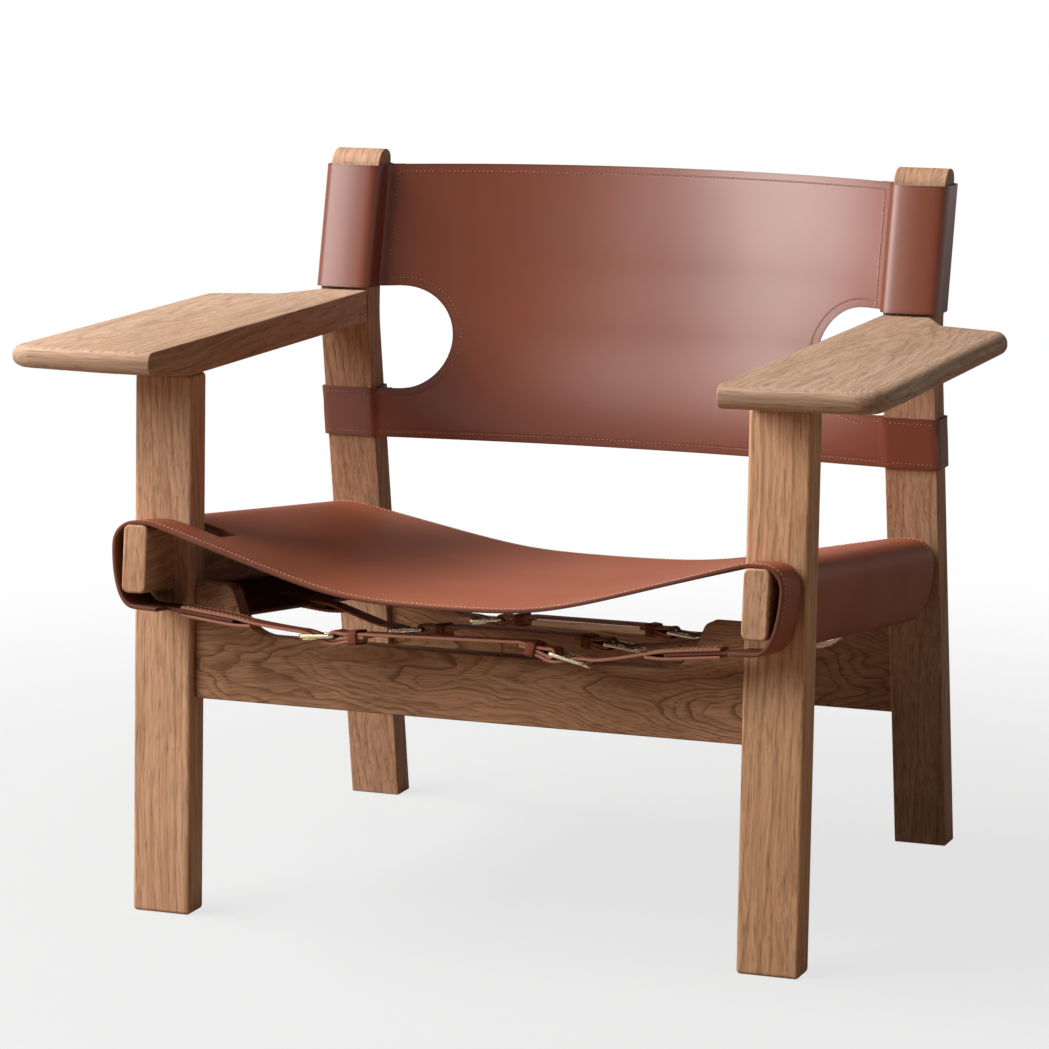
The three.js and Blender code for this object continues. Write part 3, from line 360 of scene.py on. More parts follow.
oak_front_board = oak_finish("oak_front_board", CROSSWISE, (0.236, 0.155, 0), (0, 0, 0.1), **BOARD_OAK_AND_SHADE)
oak_rear_board = oak_finish("oak_rear_board", CROSSWISE, (0.18, -0.31, 0.4), (0, 0, -0.1), **BOARD_OAK_AND_SHADE)
print("eight oak finishes")

# %% [markdown]
# ## Leather
# Saddle leather is smooth and a little glossy on its grain side, with fine pebbles and a cloudy colour.
# Along each cut edge it is burnished dark, and where it is sewn it carries a shallow groove for the stitches.
# The sheets store how far each point is from the cut and from the sewn edges, and the group reads those as
# values. The cut edge and the fuzzy flesh side get their own finishes.

# %% Leather grain group
SEAM_INSET = 0.0075
leather_grain, given = new_group("leather_grain", {
    "Edge gap": 0.03,
    "Sewn gap": 0.03,
    "Tan": (0.28, 0.08, 0.042, 1),
    "Dark": (0.2, 0.05, 0.026, 1),
    "Dullness": 0.34,
    "Burnish": 0.5,
})
calc, mask, mix, noise = tools_for(leather_grain)
cloud = noise(given["Vector"], (7, 7, 7), 3.0).outputs[0]
grit = noise(given["Vector"], (420, 420, 420), 3.0).outputs[0]
pebbles = add_node(leather_grain, "TexVoronoi", {"Vector": given["Vector"], "Scale": 900.0})
pebble = pebbles.outputs["Distance"]
burnish = mask(given["Edge gap"], 0.0, 0.003, 1.0, 0.0)
from_groove = calc("ABSOLUTE", calc("SUBTRACT", given["Sewn gap"], SEAM_INSET))
groove = mask(from_groove, 0.0003, 0.0013, 1.0, 0.0)
hide = mix(calc("MULTIPLY", mask(cloud, 0.34, 0.7), 0.4), given["Tan"], given["Dark"])
hide = mix(calc("MULTIPLY", grit, 0.25), hide, given["Dark"])
hide = mix(calc("MULTIPLY", groove, 0.3), hide, (0.06, 0.018, 0.01, 1))
hide = mix(calc("MULTIPLY", burnish, given["Burnish"]), hide, (0.07, 0.022, 0.012, 1))
gloss = calc("ADD", calc("MULTIPLY", cloud, 0.1), given["Dullness"])
gloss = calc("ADD", gloss, calc("MULTIPLY", groove, 0.1))
relief = calc("ADD", calc("MULTIPLY", pebble, 0.25), calc("MULTIPLY", grit, 0.2))
relief = calc("SUBTRACT", relief, groove)
close_group(leather_grain, hide, gloss, relief)


# %% Leather finishes
def as_it_is(tree, spot):
    """Object coordinates without a turn."""
    return spot


def leather_finish(name, tan, dark, dullness, burnish, bump, specular):
    """Leather that reads the distances to its cut and sewn edges, stored on its sheet."""
    values = {"Tan": (*tan, 1), "Dark": (*dark, 1), "Dullness": dullness, "Burnish": burnish}
    shine = {"Specular IOR Level": specular, "Specular Tint": (1, 0.95, 0.93, 1)}
    material = finish_with(name, leather_grain, values, as_it_is, bump, 0.0004, shine)
    tree = material.node_tree
    pattern = [n for n in tree.nodes if n.type == "GROUP"][0]
    for attribute, socket in (("edge_gap", "Edge gap"), ("sewn_gap", "Sewn gap")):
        gap = add_node(tree, "Attribute", attribute_name=attribute).outputs["Fac"]
        tree.links.new(gap, pattern.inputs[socket])
    return material


leather_back = leather_finish("leather_back", (0.22, 0.055, 0.025), (0.165, 0.04, 0.019), 0.275, 0.5, 0.25, 0.76)
leather_seat = leather_finish("leather_seat", (0.35, 0.1, 0.047), (0.26, 0.068, 0.031), 0.52, 0.4, 0.3, 0.22)
leather_strap = leather_finish("leather_strap", (0.3, 0.085, 0.045), (0.2, 0.05, 0.028), 0.6, 0.2, 0.3, 0.15)
leather_flesh = leather_finish("leather_flesh", (0.2, 0.08, 0.046), (0.12, 0.045, 0.026), 0.8, 0.2, 0.9, 0.08)
leather_cut = leather_finish("leather_cut", (0.3, 0.1, 0.06), (0.18, 0.055, 0.032), 0.55, 0.5, 0.8, 0.2)
strap_cut = leather_finish("strap_cut", (0.5, 0.23, 0.15), (0.36, 0.14, 0.09), 0.6, 0.1, 0.8, 0.2)
print("leather of the back, seat and straps, flesh side and cut edges")

# %% [markdown]
# ## Thread and brass
# The waxed thread is close to the hide in colour, and paler on the seat and the strap ends. The buckles are
# pale brass that has been handled: mostly bright, a little dull where fingers leave it, with faint scratches
# in the relief.

# %% Worn surface group
worn_surface, given = new_group("worn_surface", {
    "Bright": (0.8, 0.6, 0.3, 1),
    "Dull": (0.55, 0.38, 0.17, 1),
    "Smoothest": 0.18,
    "Roughest": 0.38,
})
calc, mask, mix, noise = tools_for(worn_surface)
patch = mask(noise(given["Vector"], (160, 160, 160), 3.0).outputs[0], 0.42, 0.68)
scratch = noise(given["Vector"], (900, 2600, 900)).outputs[0]
spread = calc("SUBTRACT", given["Roughest"], given["Smoothest"])
dullness = calc("ADD", given["Smoothest"], calc("MULTIPLY", patch, spread))
close_group(worn_surface, mix(patch, given["Bright"], given["Dull"]), dullness, scratch)


# %% Brass and thread finishes
def thread_finish(name, bright, dull):
    """Waxed thread in two tones."""
    values = {"Bright": (*bright, 1), "Dull": (*dull, 1), "Smoothest": 0.5, "Roughest": 0.7}
    return finish_with(name, worn_surface, values, as_it_is, 0.6, 0.0003, {"Sheen Weight": 0.1})


brass_values = {"Bright": (0.93, 0.78, 0.53, 1), "Dull": (0.78, 0.6, 0.36, 1), "Smoothest": 0.24, "Roughest": 0.42}
brass = finish_with("brass", worn_surface, brass_values, as_it_is, 0.12, 0.0002, {"Metallic": 1.0})
thread = thread_finish("waxed_thread", (0.36, 0.15, 0.09), (0.22, 0.08, 0.046))
pale_thread = thread_finish("pale_thread", (0.66, 0.44, 0.32), (0.5, 0.3, 0.2))
print("brass and two threads")

# %% [markdown]
# ## Working on one piece at a time
# An operator acts on everything that is selected, so each step first lets go of all the rest. Corners,
# edges and faces are picked in code by a test on their place, as a hand would pick them in edit mode.


# %% Picking helpers
def let_go():
    """Back to object mode with nothing selected."""
    if bpy.context.object and bpy.context.object.mode != "OBJECT":
        bpy.ops.object.mode_set(mode="OBJECT")
    bpy.ops.object.select_all(action="DESELECT")


def take(piece):
    """Selects one piece alone and makes it active."""
    let_go()
    piece.select_set(True)
    bpy.context.view_layer.objects.active = piece


def pick(piece, kind, test):
    """In edit mode, selects the VERT, EDGE or FACE elements for which the test holds."""
    take(piece)
    bpy.ops.object.mode_set(mode="EDIT")
    bpy.ops.mesh.select_mode(type=kind)
    bpy.ops.mesh.select_all(action="DESELECT")
    mesh = bmesh.from_edit_mesh(piece.data)
    found = [e for e in {"VERT": mesh.verts, "EDGE": mesh.edges, "FACE": mesh.faces}[kind] if test(e)]
    for element in found:
        element.select_set(True)
    mesh.select_flush_mode()
    bmesh.update_edit_mesh(piece.data)
    return len(found)


def everything(element):
    """The test that holds for every element."""
    return True


def leave_edit():
    """Back to object mode after an edit."""
    bpy.ops.object.mode_set(mode="OBJECT")


def near(value, target):
    """True within a tenth of a millimetre."""
    return abs(value - target) < 1e-4


print("picking helpers ready")


# %% Modelling helpers
def settle():
    """Writes the selected piece's place, turn and scale into its mesh."""
    bpy.ops.object.transform_apply(location=True, rotation=True, scale=True)


def add_block(name, low, high):
    """A block between two opposite corners."""
    let_go()
    low, high = Vector(low), Vector(high)
    bpy.ops.mesh.primitive_cube_add(size=1, location=(low + high) / 2)
    block = bpy.context.object
    block.name = name
    block.scale = high - low
    settle()
    return block


def slice_at(piece, place, direction):
    """Cuts a line round the whole piece where a plane crosses it."""
    pick(piece, "FACE", everything)
    bpy.ops.mesh.bisect(plane_co=place, plane_no=direction)
    leave_edit()


def shift_corners(piece, test, by):
    """Moves the corners for which the test holds."""
    if pick(piece, "VERT", lambda v: test(v.co)):
        bpy.ops.transform.translate(value=by)
    leave_edit()


def round_edges(piece, test, size, steps):
    """Bevels the edges for which the test on their two ends holds."""
    pick(piece, "EDGE", lambda e: test(e.verts[0].co, e.verts[1].co))
    bpy.ops.mesh.bevel(offset=size, segments=steps, affect="EDGES", clamp_overlap=True)
    leave_edit()


def turn_outwards(piece):
    """Makes every face look outwards."""
    pick(piece, "FACE", everything)
    bpy.ops.mesh.normals_make_consistent(inside=False)
    leave_edit()


def put_at(piece, matrix):
    """Moves a piece by a matrix and leaves the place in its mesh."""
    take(piece)
    piece.matrix_world = matrix
    settle()
    if matrix.determinant() < 0:
        turn_outwards(piece)


def join_to(piece, other):
    """Makes the other piece a part of this one."""
    take(piece)
    other.select_set(True)
    bpy.ops.object.join()


print("modelling helpers ready")

# %% Finishing helpers
SIDES = {"left": -1, "right": 1}
CHAIR, HARD_EDGE = "chair", 38


def use_modifier(piece, kind, **options):
    """Adds a modifier, sets it and applies it."""
    take(piece)
    bpy.ops.object.modifier_add(type=kind)
    modifier = piece.modifiers[-1]
    for option, value in options.items():
        setattr(modifier, option, value)
    bpy.ops.object.modifier_apply(modifier=modifier.name)


def bevel_sharp(piece, size, steps, degrees):
    """Bevels every edge that turns by more than an angle."""
    limit = math.radians(degrees)
    use_modifier(piece, "BEVEL", width=size, segments=steps, limit_method="ANGLE", angle_limit=limit)


def smooth(piece, degrees):
    """Smooth shading, apart from edges that turn by more than an angle."""
    take(piece)
    bpy.ops.object.shade_smooth_by_angle(angle=math.radians(degrees))


def ease_edges(piece, size, steps=3):
    """Takes the sharpness off every remaining hard edge and smooths the shading."""
    bevel_sharp(piece, size, steps, HARD_EDGE)
    smooth(piece, HARD_EDGE)
    use_modifier(piece, "WEIGHTED_NORMAL", keep_sharp=True)


def dress(piece, *materials):
    """Gives a piece its materials."""
    for material in materials:
        piece.data.materials.append(material)


def hand_over(piece, body, slot, *nodes):
    """Ties a finished piece to its body and hides the solids it stands for. The slot is not used."""
    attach(piece, body)
    if nodes:
        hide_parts(*nodes)
    print(piece.name, len(piece.data.polygons), "faces")


print("finishing helpers ready")

# %% [markdown]
# ## Legs
# The front legs are plain square posts that lean back a little. The rear legs splay backwards at the floor
# and bend at arm height, where the back starts to lean. A block is enough for both: its top corners are
# pushed back for the lean, and the rear leg gets one more cut at the bend. The rounded top of the rear post
# is a wide bevel of its two upper edges.

# %% Front legs
CLEAR = 0.266
FRONT_LEG = {"width": 0.058, "depth": 0.031, "foot": -0.2356, "lean": 0.0465, "top": 0.5017}


def between(side, inner, outer):
    """The two edges of a piece on one side of the chair, the left one first."""
    return sorted((side * inner, side * outer))


for side_name, side in SIDES.items():
    left, right = between(side, CLEAR, CLEAR + FRONT_LEG["width"])
    foot, top = FRONT_LEG["foot"], FRONT_LEG["top"]
    leg = add_block(f"oak_front_leg_{side_name}", (left, foot, 0), (right, foot + FRONT_LEG["depth"], top))
    shift_corners(leg, lambda p: p.z > 0.3, (0, FRONT_LEG["lean"] * top, 0))
    ease_edges(leg, 0.0038, 4)
    dress(leg, oak_leg[side_name])
    hand_over(leg, CHAIR, "oak", f"front_leg_{side_name}")

# %% Rear legs
REAR_LEG = {"width": 0.052, "depth": 0.030, "bend_z": 0.522, "top_z": 0.670}
REAR_FACE = {"foot": 0.2651, "bend": 0.1916, "top": 0.2283}
bend_z = REAR_LEG["bend_z"]
for side_name, side in SIDES.items():
    left, right = between(side, CLEAR, CLEAR + REAR_LEG["width"])
    post = add_block(f"oak_rear_leg_{side_name}", (left, 0, 0), (right, REAR_LEG["depth"], REAR_LEG["top_z"]))
    slice_at(post, (0, 0, bend_z), (0, 0, 1))
    shift_corners(post, lambda p: p.z < 0.01, (0, REAR_FACE["foot"], 0))
    shift_corners(post, lambda p: 0.4 < p.z < 0.6, (0, REAR_FACE["bend"], 0))
    shift_corners(post, lambda p: p.z > 0.66, (0, REAR_FACE["top"], 0))
    pick(post, "EDGE", lambda e: near(e.verts[0].co.x, e.verts[1].co.x)
         and all(near(v.co.z, bend_z) for v in e.verts))
    bpy.ops.mesh.dissolve_edges(use_verts=False)
    leave_edit()
    round_edges(post, lambda a, b: min(a.z, b.z) > 0.66 and abs(a.x - b.x) > 0.01, 0.0142, 9)
    round_edges(post, lambda a, b: abs(a.z - b.z) < 1e-5 and 0.5 < a.z < 0.54 and abs(a.x - b.x) > 0.01, 0.03, 6)
    ease_edges(post, 0.0014)
    dress(post, oak_post)
    hand_over(post, CHAIR, "oak", f"rear_leg_{side_name}")

# %% [markdown]
# ## Side rails
# Each rail is a flat bar that passes through the front leg and runs down to the rear leg. Its long edges are
# well rounded, because the leather bends over them. It is made level, bevelled, and then tipped by seven
# degrees about its front end.

# %% Side rails
SLOPE = math.radians(7)
seat_frame = Matrix.Translation((0, -0.2747, 0.3725)) @ Matrix.Rotation(-SLOPE, 4, "X")
RAIL = {"inner": 0.283, "outer": 0.307, "height": 0.062, "length": 0.511}
for side_name, side in SIDES.items():
    left, right = between(side, RAIL["inner"], RAIL["outer"])
    rail = add_block(f"oak_side_rail_{side_name}", (left, 0, -RAIL["height"]), (right, RAIL["length"], 0))
    round_edges(rail, lambda a, b: abs(a.y - b.y) > 0.1, 0.006, 5)
    ease_edges(rail, 0.0022)
    put_at(rail, seat_frame)
    dress(rail, oak_rail)
    hand_over(rail, CHAIR, "oak", f"side_rail_{side_name}")

# %% [markdown]
# ## Stretchers
# Two boards tie the legs together. Each is low in the middle and rises to a tall ear at both ends, with a
# slanted, softly curved step. The ears are extruded from the top of a plain board, their inner corners are
# pushed outwards for the slant, and the inside corner is bevelled into a curve.

# %% Stretchers
STRETCHER = {"half": 0.2657, "thickness": 0.020, "waist": 0.062, "ear": 0.107, "ear_length": 0.037, "slant": 0.016}
FRONT_LOW, REAR_LOW, SET_IN = 0.203, 0.133, 0.008


def add_stretcher(name, lean, face, lower_edge, material):
    """A board with raised ears, leaning with the legs that hold it."""
    half, waist = STRETCHER["half"], STRETCHER["waist"]
    root = half - STRETCHER["ear_length"] - STRETCHER["slant"]
    board = add_block(name, (-half, 0, 0), (half, STRETCHER["thickness"], waist))
    for side in SIDES.values():
        slice_at(board, (side * root, 0, 0), (1, 0, 0))
    pick(board, "FACE", lambda f: f.normal.z > 0.9 and abs(f.calc_center_median().x) > root)
    rise = STRETCHER["ear"] - waist
    bpy.ops.mesh.extrude_region_move(TRANSFORM_OT_translate={"value": (0, 0, rise)})
    leave_edit()
    for side in SIDES.values():
        shift_corners(board, lambda p: p.z > 0.1 and near(p.x, side * root), (side * STRETCHER["slant"], 0, 0))
    round_edges(board, lambda a, b: near(abs(a.x), root) and near(a.z, waist)
                and near(a.x, b.x) and near(a.z, b.z), 0.024, 8)
    round_edges(board, lambda a, b: min(a.z, b.z) > 0.1 and near(a.x, b.x) and abs(a.x) < half - 0.01, 0.006, 4)
    ease_edges(board, 0.0018)
    put_at(board, Matrix.Translation((0, face, lower_edge)) @ Matrix.Rotation(-math.atan(lean), 4, "X"))
    dress(board, material)
    return board


rear_lean = (REAR_FACE["bend"] - REAR_FACE["foot"]) / bend_z
front_face = FRONT_LEG["foot"] + FRONT_LEG["lean"] * FRONT_LOW + SET_IN
rear_face_low = REAR_FACE["foot"] + rear_lean * REAR_LOW + SET_IN
front_board = add_stretcher("oak_front_stretcher", FRONT_LEG["lean"], front_face, FRONT_LOW, oak_front_board)
rear_board = add_stretcher("oak_rear_stretcher", rear_lean, rear_face_low, REAR_LOW, oak_rear_board)
hand_over(front_board, CHAIR, "oak", "front_stretcher")
hand_over(rear_board, CHAIR, "oak", "rear_stretcher")

# %% [markdown]
# ## Armrests
# Each arm is a broad board that lies on the front leg and narrows to a neck against the rear post. Its
# underside rises towards the free edges, so the arm looks thinner than it is, and those edges are fully
# rounded. A block is cut where the outline turns, its corners are moved to the outline, the upright edges
# are rounded in plan, and the rim is bevelled last. The left arm is a mirrored copy.

# %% Armrest outline
ARM = {"outer": 0.4125, "front": -0.3017, "rear": 0.1915, "bottom": 0.502, "top": 0.5335, "rise": 0.0115}
ARM_TURN_Y, ARM_NECK_Y, LAND_Y = 0.1178, 0.1388, -0.2163
NECK_NARROWS, REAR_NARROWS, NECK_RISE = 0.0665, 0.0915, 0.0025
land_x = CLEAR + FRONT_LEG["width"] + 0.004 - 0.012
outer_x, neck_x = ARM["outer"], ARM["outer"] - NECK_NARROWS
arm = add_block("oak_armrest_right", (CLEAR, ARM["front"], ARM["bottom"]), (outer_x, ARM["rear"], ARM["top"]))
for place in (ARM_TURN_Y, ARM_NECK_Y, LAND_Y):
    slice_at(arm, (0, place, 0), (0, 1, 0))
slice_at(arm, (land_x, 0, 0), (1, 0, 0))
shift_corners(arm, lambda p: near(p.x, outer_x) and near(p.y, ARM_NECK_Y), (-NECK_NARROWS, 0, 0))
shift_corners(arm, lambda p: near(p.x, outer_x) and near(p.y, ARM["rear"]), (-REAR_NARROWS, 0, 0))
shift_corners(arm, lambda p: p.z < 0.51 and (near(p.x, outer_x) or near(p.y, ARM["front"])), (0, 0, ARM["rise"]))
shift_corners(arm, lambda p: p.z < 0.51 and near(p.x, neck_x), (0, 0, NECK_RISE))
pick(arm, "EDGE", lambda e: all(near(v.co.x, land_x) and v.co.y > ARM_NECK_Y - 0.001 for v in e.verts)
     and max(v.co.y for v in e.verts) > ARM["rear"] - 0.001)
bpy.ops.mesh.dissolve_edges(use_verts=True)
leave_edit()
print("arm outline,", len(arm.data.vertices), "corners")


# %% Armrest edges
def upright(a, b):
    """True for the two ends of an upright edge."""
    return near(a.x, b.x) and near(a.y, b.y)


def on_rim(edge):
    """True where a top or bottom face meets a side face, apart from the inner side and the rear end."""
    if len(edge.link_faces) != 2:
        return False
    low, high = sorted(edge.link_faces, key=lambda f: abs(f.normal.z))
    inner = low.normal.x < -0.9
    rear_end = low.normal.y > 0.9 and low.calc_center_median().y > ARM["rear"] - 0.002
    return abs(low.normal.z) < 0.5 < abs(high.normal.z) and not inner and not rear_end


round_edges(arm, lambda a, b: upright(a, b) and near(a.x, outer_x) and near(a.y, ARM["front"]), 0.026, 3)
round_edges(arm, lambda a, b: upright(a, b) and near(a.x, outer_x) and near(a.y, ARM_TURN_Y), 0.016, 6)
round_edges(arm, lambda a, b: upright(a, b) and near(a.x, neck_x), 0.016, 6)
print("rim edges", pick(arm, "EDGE", on_rim))
bpy.ops.mesh.bevel(offset=0.0093, segments=7, affect="EDGES", clamp_overlap=False)
ease_edges(arm, 0.0016)
take(arm)
bpy.ops.object.duplicate()
left_arm = bpy.context.object
left_arm.name = "oak_armrest_left"
put_at(left_arm, Matrix.Scale(-1, 4, (1, 0, 0)))
dress(arm, oak_arm_right)
dress(left_arm, oak_arm_left)
hand_over(arm, CHAIR, "oak", "armrest_right")
hand_over(left_arm, CHAIR, "oak", "armrest_left")

# %% Arm dowels
for node_name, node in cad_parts.items():
    if node_name.startswith("arm_dowel"):
        node.data.materials.clear()
        node.data.materials.append(oak_rail)
        print(node_name, "keeps its solid, in oak")

# %% [markdown]
# ## Sheets of leather
# A sheet starts as a flat grid, like a hide on the cutting table. Cells that are cut away are deleted, each
# remaining corner goes to its place on the curved surface, and a modifier gives the sheet its thickness. The
# distance to the cut edge is stored on the way, because the leather finish reads it.

# %% Sheet helpers
GAP_LIMIT = 0.03


def lay_sheet(name, across, along, place, keep=None):
    """A grid of cells; cells that keep refuses are cut out, then every corner goes to its place."""
    let_go()
    bpy.ops.mesh.primitive_grid_add(x_subdivisions=across, y_subdivisions=along, size=2)
    sheet = bpy.context.object
    sheet.name = name

    def cell(spot):
        return (spot.x + 1) / 2 * across, (spot.y + 1) / 2 * along

    if keep:
        pick(sheet, "FACE", lambda f: not keep(*[int(q) for q in cell(f.calc_center_median())]))
        bpy.ops.mesh.delete(type="FACE")
        leave_edit()
    for corner in sheet.data.vertices:
        i, j = cell(corner.co)
        corner.co = place(round(i), round(j))
    sheet.data.update()
    return sheet


def mark_edges(sheet, more_edges=(), sewn=None):
    """Stores each corner's distance to the cut edge and, where a rule is given, to the sewn edge."""
    mesh = bmesh.new()
    mesh.from_mesh(sheet.data)
    rim = [v.co.copy() for v in mesh.verts if v.is_boundary] + list(more_edges)
    mesh.free()
    tree = kdtree.KDTree(len(rim))
    for index, spot in enumerate(rim):
        tree.insert(spot, index)
    tree.balance()
    gaps = [min(tree.find(v.co)[2], GAP_LIMIT) for v in sheet.data.vertices]
    sheet.data.attributes.new("edge_gap", "FLOAT", "POINT").data.foreach_set("value", gaps)
    seams = [min(sewn(v.co), GAP_LIMIT) if sewn else GAP_LIMIT for v in sheet.data.vertices]
    sheet.data.attributes.new("sewn_gap", "FLOAT", "POINT").data.foreach_set("value", seams)


def face_towards(sheet, direction, spot):
    """Turns the grain side of the sheet towards a direction, judged at the face nearest to a spot."""
    sheet.data.update()
    face = min(sheet.data.polygons, key=lambda f: (f.center - Vector(spot)).length)
    if face.normal.dot(Vector(direction)) < 0:
        pick(sheet, "FACE", everything)
        bpy.ops.mesh.flip_normals()
        leave_edit()


def give_thickness(sheet, thickness, grain, cut=leather_cut, offset=0):
    """Grain side, cut edge and flesh side as one closed sheet. Returns the area of the flat cut."""
    area = sum(face.area for face in sheet.data.polygons)
    dress(sheet, grain, cut, leather_flesh)
    use_modifier(sheet, "SOLIDIFY", thickness=thickness, offset=offset, use_even_offset=True,
                 material_offset=2, material_offset_rim=1)
    return area


def round_rim(sheet, size):
    """Takes the sharpness off the cut edges."""
    bevel_sharp(sheet, size, 2, 55)
    smooth(sheet, 50)


print("sheet helpers ready")


# %% Line helpers
def length_of(points):
    """The length of a line through points."""
    return sum((Vector(b) - Vector(a)).length for a, b in zip(points, points[1:]))


def even_steps(points, count):
    """The same line in count equal steps."""
    total, line = length_of(points), [Vector(p) for p in points]
    spots, index, walked = [], 0, 0.0
    for step in range(count + 1):
        target = total * step / count
        while index < len(line) - 2 and walked + (line[index + 1] - line[index]).length < target - 1e-12:
            walked += (line[index + 1] - line[index]).length
            index += 1
        piece = (line[index + 1] - line[index]).length
        share = min(max((target - walked) / piece, 0.0), 1.0) if piece else 0.0
        spots.append(line[index].lerp(line[index + 1], share))
    return spots


def soften(points, rounds=2):
    """Cuts the corners of a line, keeping its two ends."""
    line = [Vector(p) for p in points]
    for _ in range(rounds):
        cut = [line[0]]
        for a, b in zip(line, line[1:]):
            cut += [a.lerp(b, 0.25), a.lerp(b, 0.75)]
        line = cut + [line[-1]]
    return line


print("line helpers ready")

# %% [markdown]
# ## Seat sling
# The seat hangs in a flat-bottomed hollow between the rails, goes over each rail, hangs a finger's width off
# its outer side and comes back underneath, where six tongues meet the straps. Beside each front leg it has a
# slot that lets the leg through. The cross-section is written once as a line from the middle of the chair to
# the tip of a tongue, and rows of it from front to rear make the sheet.

# %% Seat section
SEAT = {"leather": 0.0035, "front": 0.002, "rear": 0.482, "sag_front": 0.057, "sag_rear": 0.037, "slot": 0.236}
SEAT_LIFT, SHOULDER, WRAP_SIDE, WRAP_BOTTOM = 0.00205, 0.020, 0.31725, -0.07475
HEM_X, UNDER_X, FLAP_X, TONGUE_X, TONGUE_Z = 0.31125, 0.295, 0.272, 0.206, -0.08275
HOLLOW_COLUMNS, FLANK_COLUMNS, WRAP_COLUMNS, TONGUE_COLUMNS, FLAP_COLUMNS = 46, 10, 36, 14, 11
RAIL_COLUMN = HOLLOW_COLUMNS + FLANK_COLUMNS


def hollow_share(share):
    """0 in the middle of the seat and 1 at the rail, flat first and then rising."""
    def knee(t):
        return math.log(1 + math.exp(12 * (t - 0.33)))
    return (knee(share) - knee(0)) / (knee(1) - knee(0))


def bezier(a, b, c, d, steps):
    """Points on a curve with two handles."""
    spots = []
    for step in range(1, steps + 1):
        t = step / steps
        u = 1 - t
        spots.append(tuple(u ** 3 * p + 3 * u * u * t * q + 3 * u * t * t * r + t ** 3 * s
                           for p, q, r, s in zip(a, b, c, d)))
    return spots


def seat_half(along):
    """Half of the seat's section at a distance along the rail, as (across, up) from middle to tongue tip."""
    share = (along - SEAT["front"]) / (SEAT["rear"] - SEAT["front"])
    sag = SEAT["sag_front"] + (SEAT["sag_rear"] - SEAT["sag_front"]) * share

    def hollow(x):
        return x, SEAT_LIFT - sag * (1 - hollow_share(x / RAIL["inner"]))

    line = [hollow(SEAT["slot"] * i / HOLLOW_COLUMNS) for i in range(HOLLOW_COLUMNS)]
    flank = RAIL["inner"] - SEAT["slot"]
    line += [hollow(SEAT["slot"] + flank * i / FLANK_COLUMNS) for i in range(FLANK_COLUMNS)]
    shoulder = WRAP_SIDE - SHOULDER
    wrap = [(RAIL["inner"], SEAT_LIFT), (shoulder, SEAT_LIFT)]
    for step in range(1, 11):
        turn = math.pi / 2 * (1 - step / 10)
        wrap.append((shoulder + SHOULDER * math.cos(turn), SEAT_LIFT - SHOULDER + SHOULDER * math.sin(turn)))
    wrap += bezier(wrap[-1], (WRAP_SIDE, WRAP_BOTTOM * 0.55), (HEM_X, WRAP_BOTTOM), (UNDER_X, WRAP_BOTTOM), 12)
    wrap.append((FLAP_X, WRAP_BOTTOM - 0.001))
    wrap = [tuple(p) for p in even_steps(wrap, WRAP_COLUMNS)]
    tongue = [tuple(p) for p in even_steps([wrap[-1], (TONGUE_X, TONGUE_Z)], TONGUE_COLUMNS)]
    line = [Vector(p) for p in line + wrap + tongue[1:]]
    for _ in range(3):
        line = [p if abs(i - RAIL_COLUMN) > 4 else (line[i - 1] + 2 * p + line[i + 1]) / 4
                for i, p in enumerate(line)]
    return line


print("half section", round(length_of(seat_half(0.2)), 4), "m")

# %% Seat rows
TONGUES = {"front": 0.036, "middle": 0.245, "rear": 0.452}
TONGUE_HALF = 0.011
ROW_CELLS = (5, 5, 2, 7, 29, 5, 37, 5, 4)
SLOT_START, TONGUE_STARTS = 3, (1, 5, 7)
LEG_ALONG, LEG_LEAN, SLOT_AHEAD, SLOT_BEHIND = 0.05652, 0.07585, 0.002, 0.0331


def slot_edges(up):
    """Front and rear edge of the leg slot at a height above the rail's top, along the rail."""
    face = LEG_ALONG - LEG_LEAN * up
    return face - SLOT_AHEAD, face + SLOT_BEHIND


def row_places(up):
    """Where each row lies along the rail at a given height: only the rows at the slot move with the leg."""
    slot_front, slot_rear = slot_edges(up)
    stops = [SEAT["front"]]
    for centre in TONGUES.values():
        stops += [centre - TONGUE_HALF, centre + TONGUE_HALF]
        if centre == TONGUES["front"]:
            stops += [slot_front, slot_rear]
    stops.append(SEAT["rear"])
    rows, marks = [stops[0]], [0]
    for low, high, count in zip(stops, stops[1:], ROW_CELLS):
        rows += [low + (high - low) * (i + 1) / count for i in range(count)]
        marks.append(len(rows) - 1)
    return rows, marks


sample_rows, row_marks = row_places(0.0)
half_columns = RAIL_COLUMN + WRAP_COLUMNS + TONGUE_COLUMNS
print(len(sample_rows), "rows,", 2 * half_columns, "columns")

# %% Seat sheet
first_sections = [seat_half(along) for along in sample_rows]
section_store = {}


def seat_half_at(along, column):
    """One point of the section, remembered for the rows that share it."""
    key = round(along, 5)
    if key not in section_store:
        section_store[key] = seat_half(along)
    return section_store[key][column]


def seat_spot(i, j):
    """Corner i across and j along, in the chair's frame."""
    column, side = abs(i - half_columns), 1 if i >= half_columns else -1
    guess = first_sections[j][column]
    x, up = seat_half_at(row_places(guess.y)[0][j], column)
    return seat_frame @ Vector((side * x, row_places(up)[0][j], up))


def seat_kept(i, j):
    """False for cells in the two leg slots and between the tongues."""
    column = i - half_columns if i >= half_columns else half_columns - 1 - i
    in_slot = row_marks[SLOT_START] <= j < row_marks[SLOT_START + 1] and column >= HOLLOW_COLUMNS
    on_tongue = any(row_marks[a] <= j < row_marks[a + 1] for a in TONGUE_STARTS)
    flap = FLAP_COLUMNS if j >= row_marks[SLOT_START + 1] else 0
    past_flap = column >= RAIL_COLUMN + WRAP_COLUMNS + flap
    return not in_slot and (on_tongue or not past_flap)


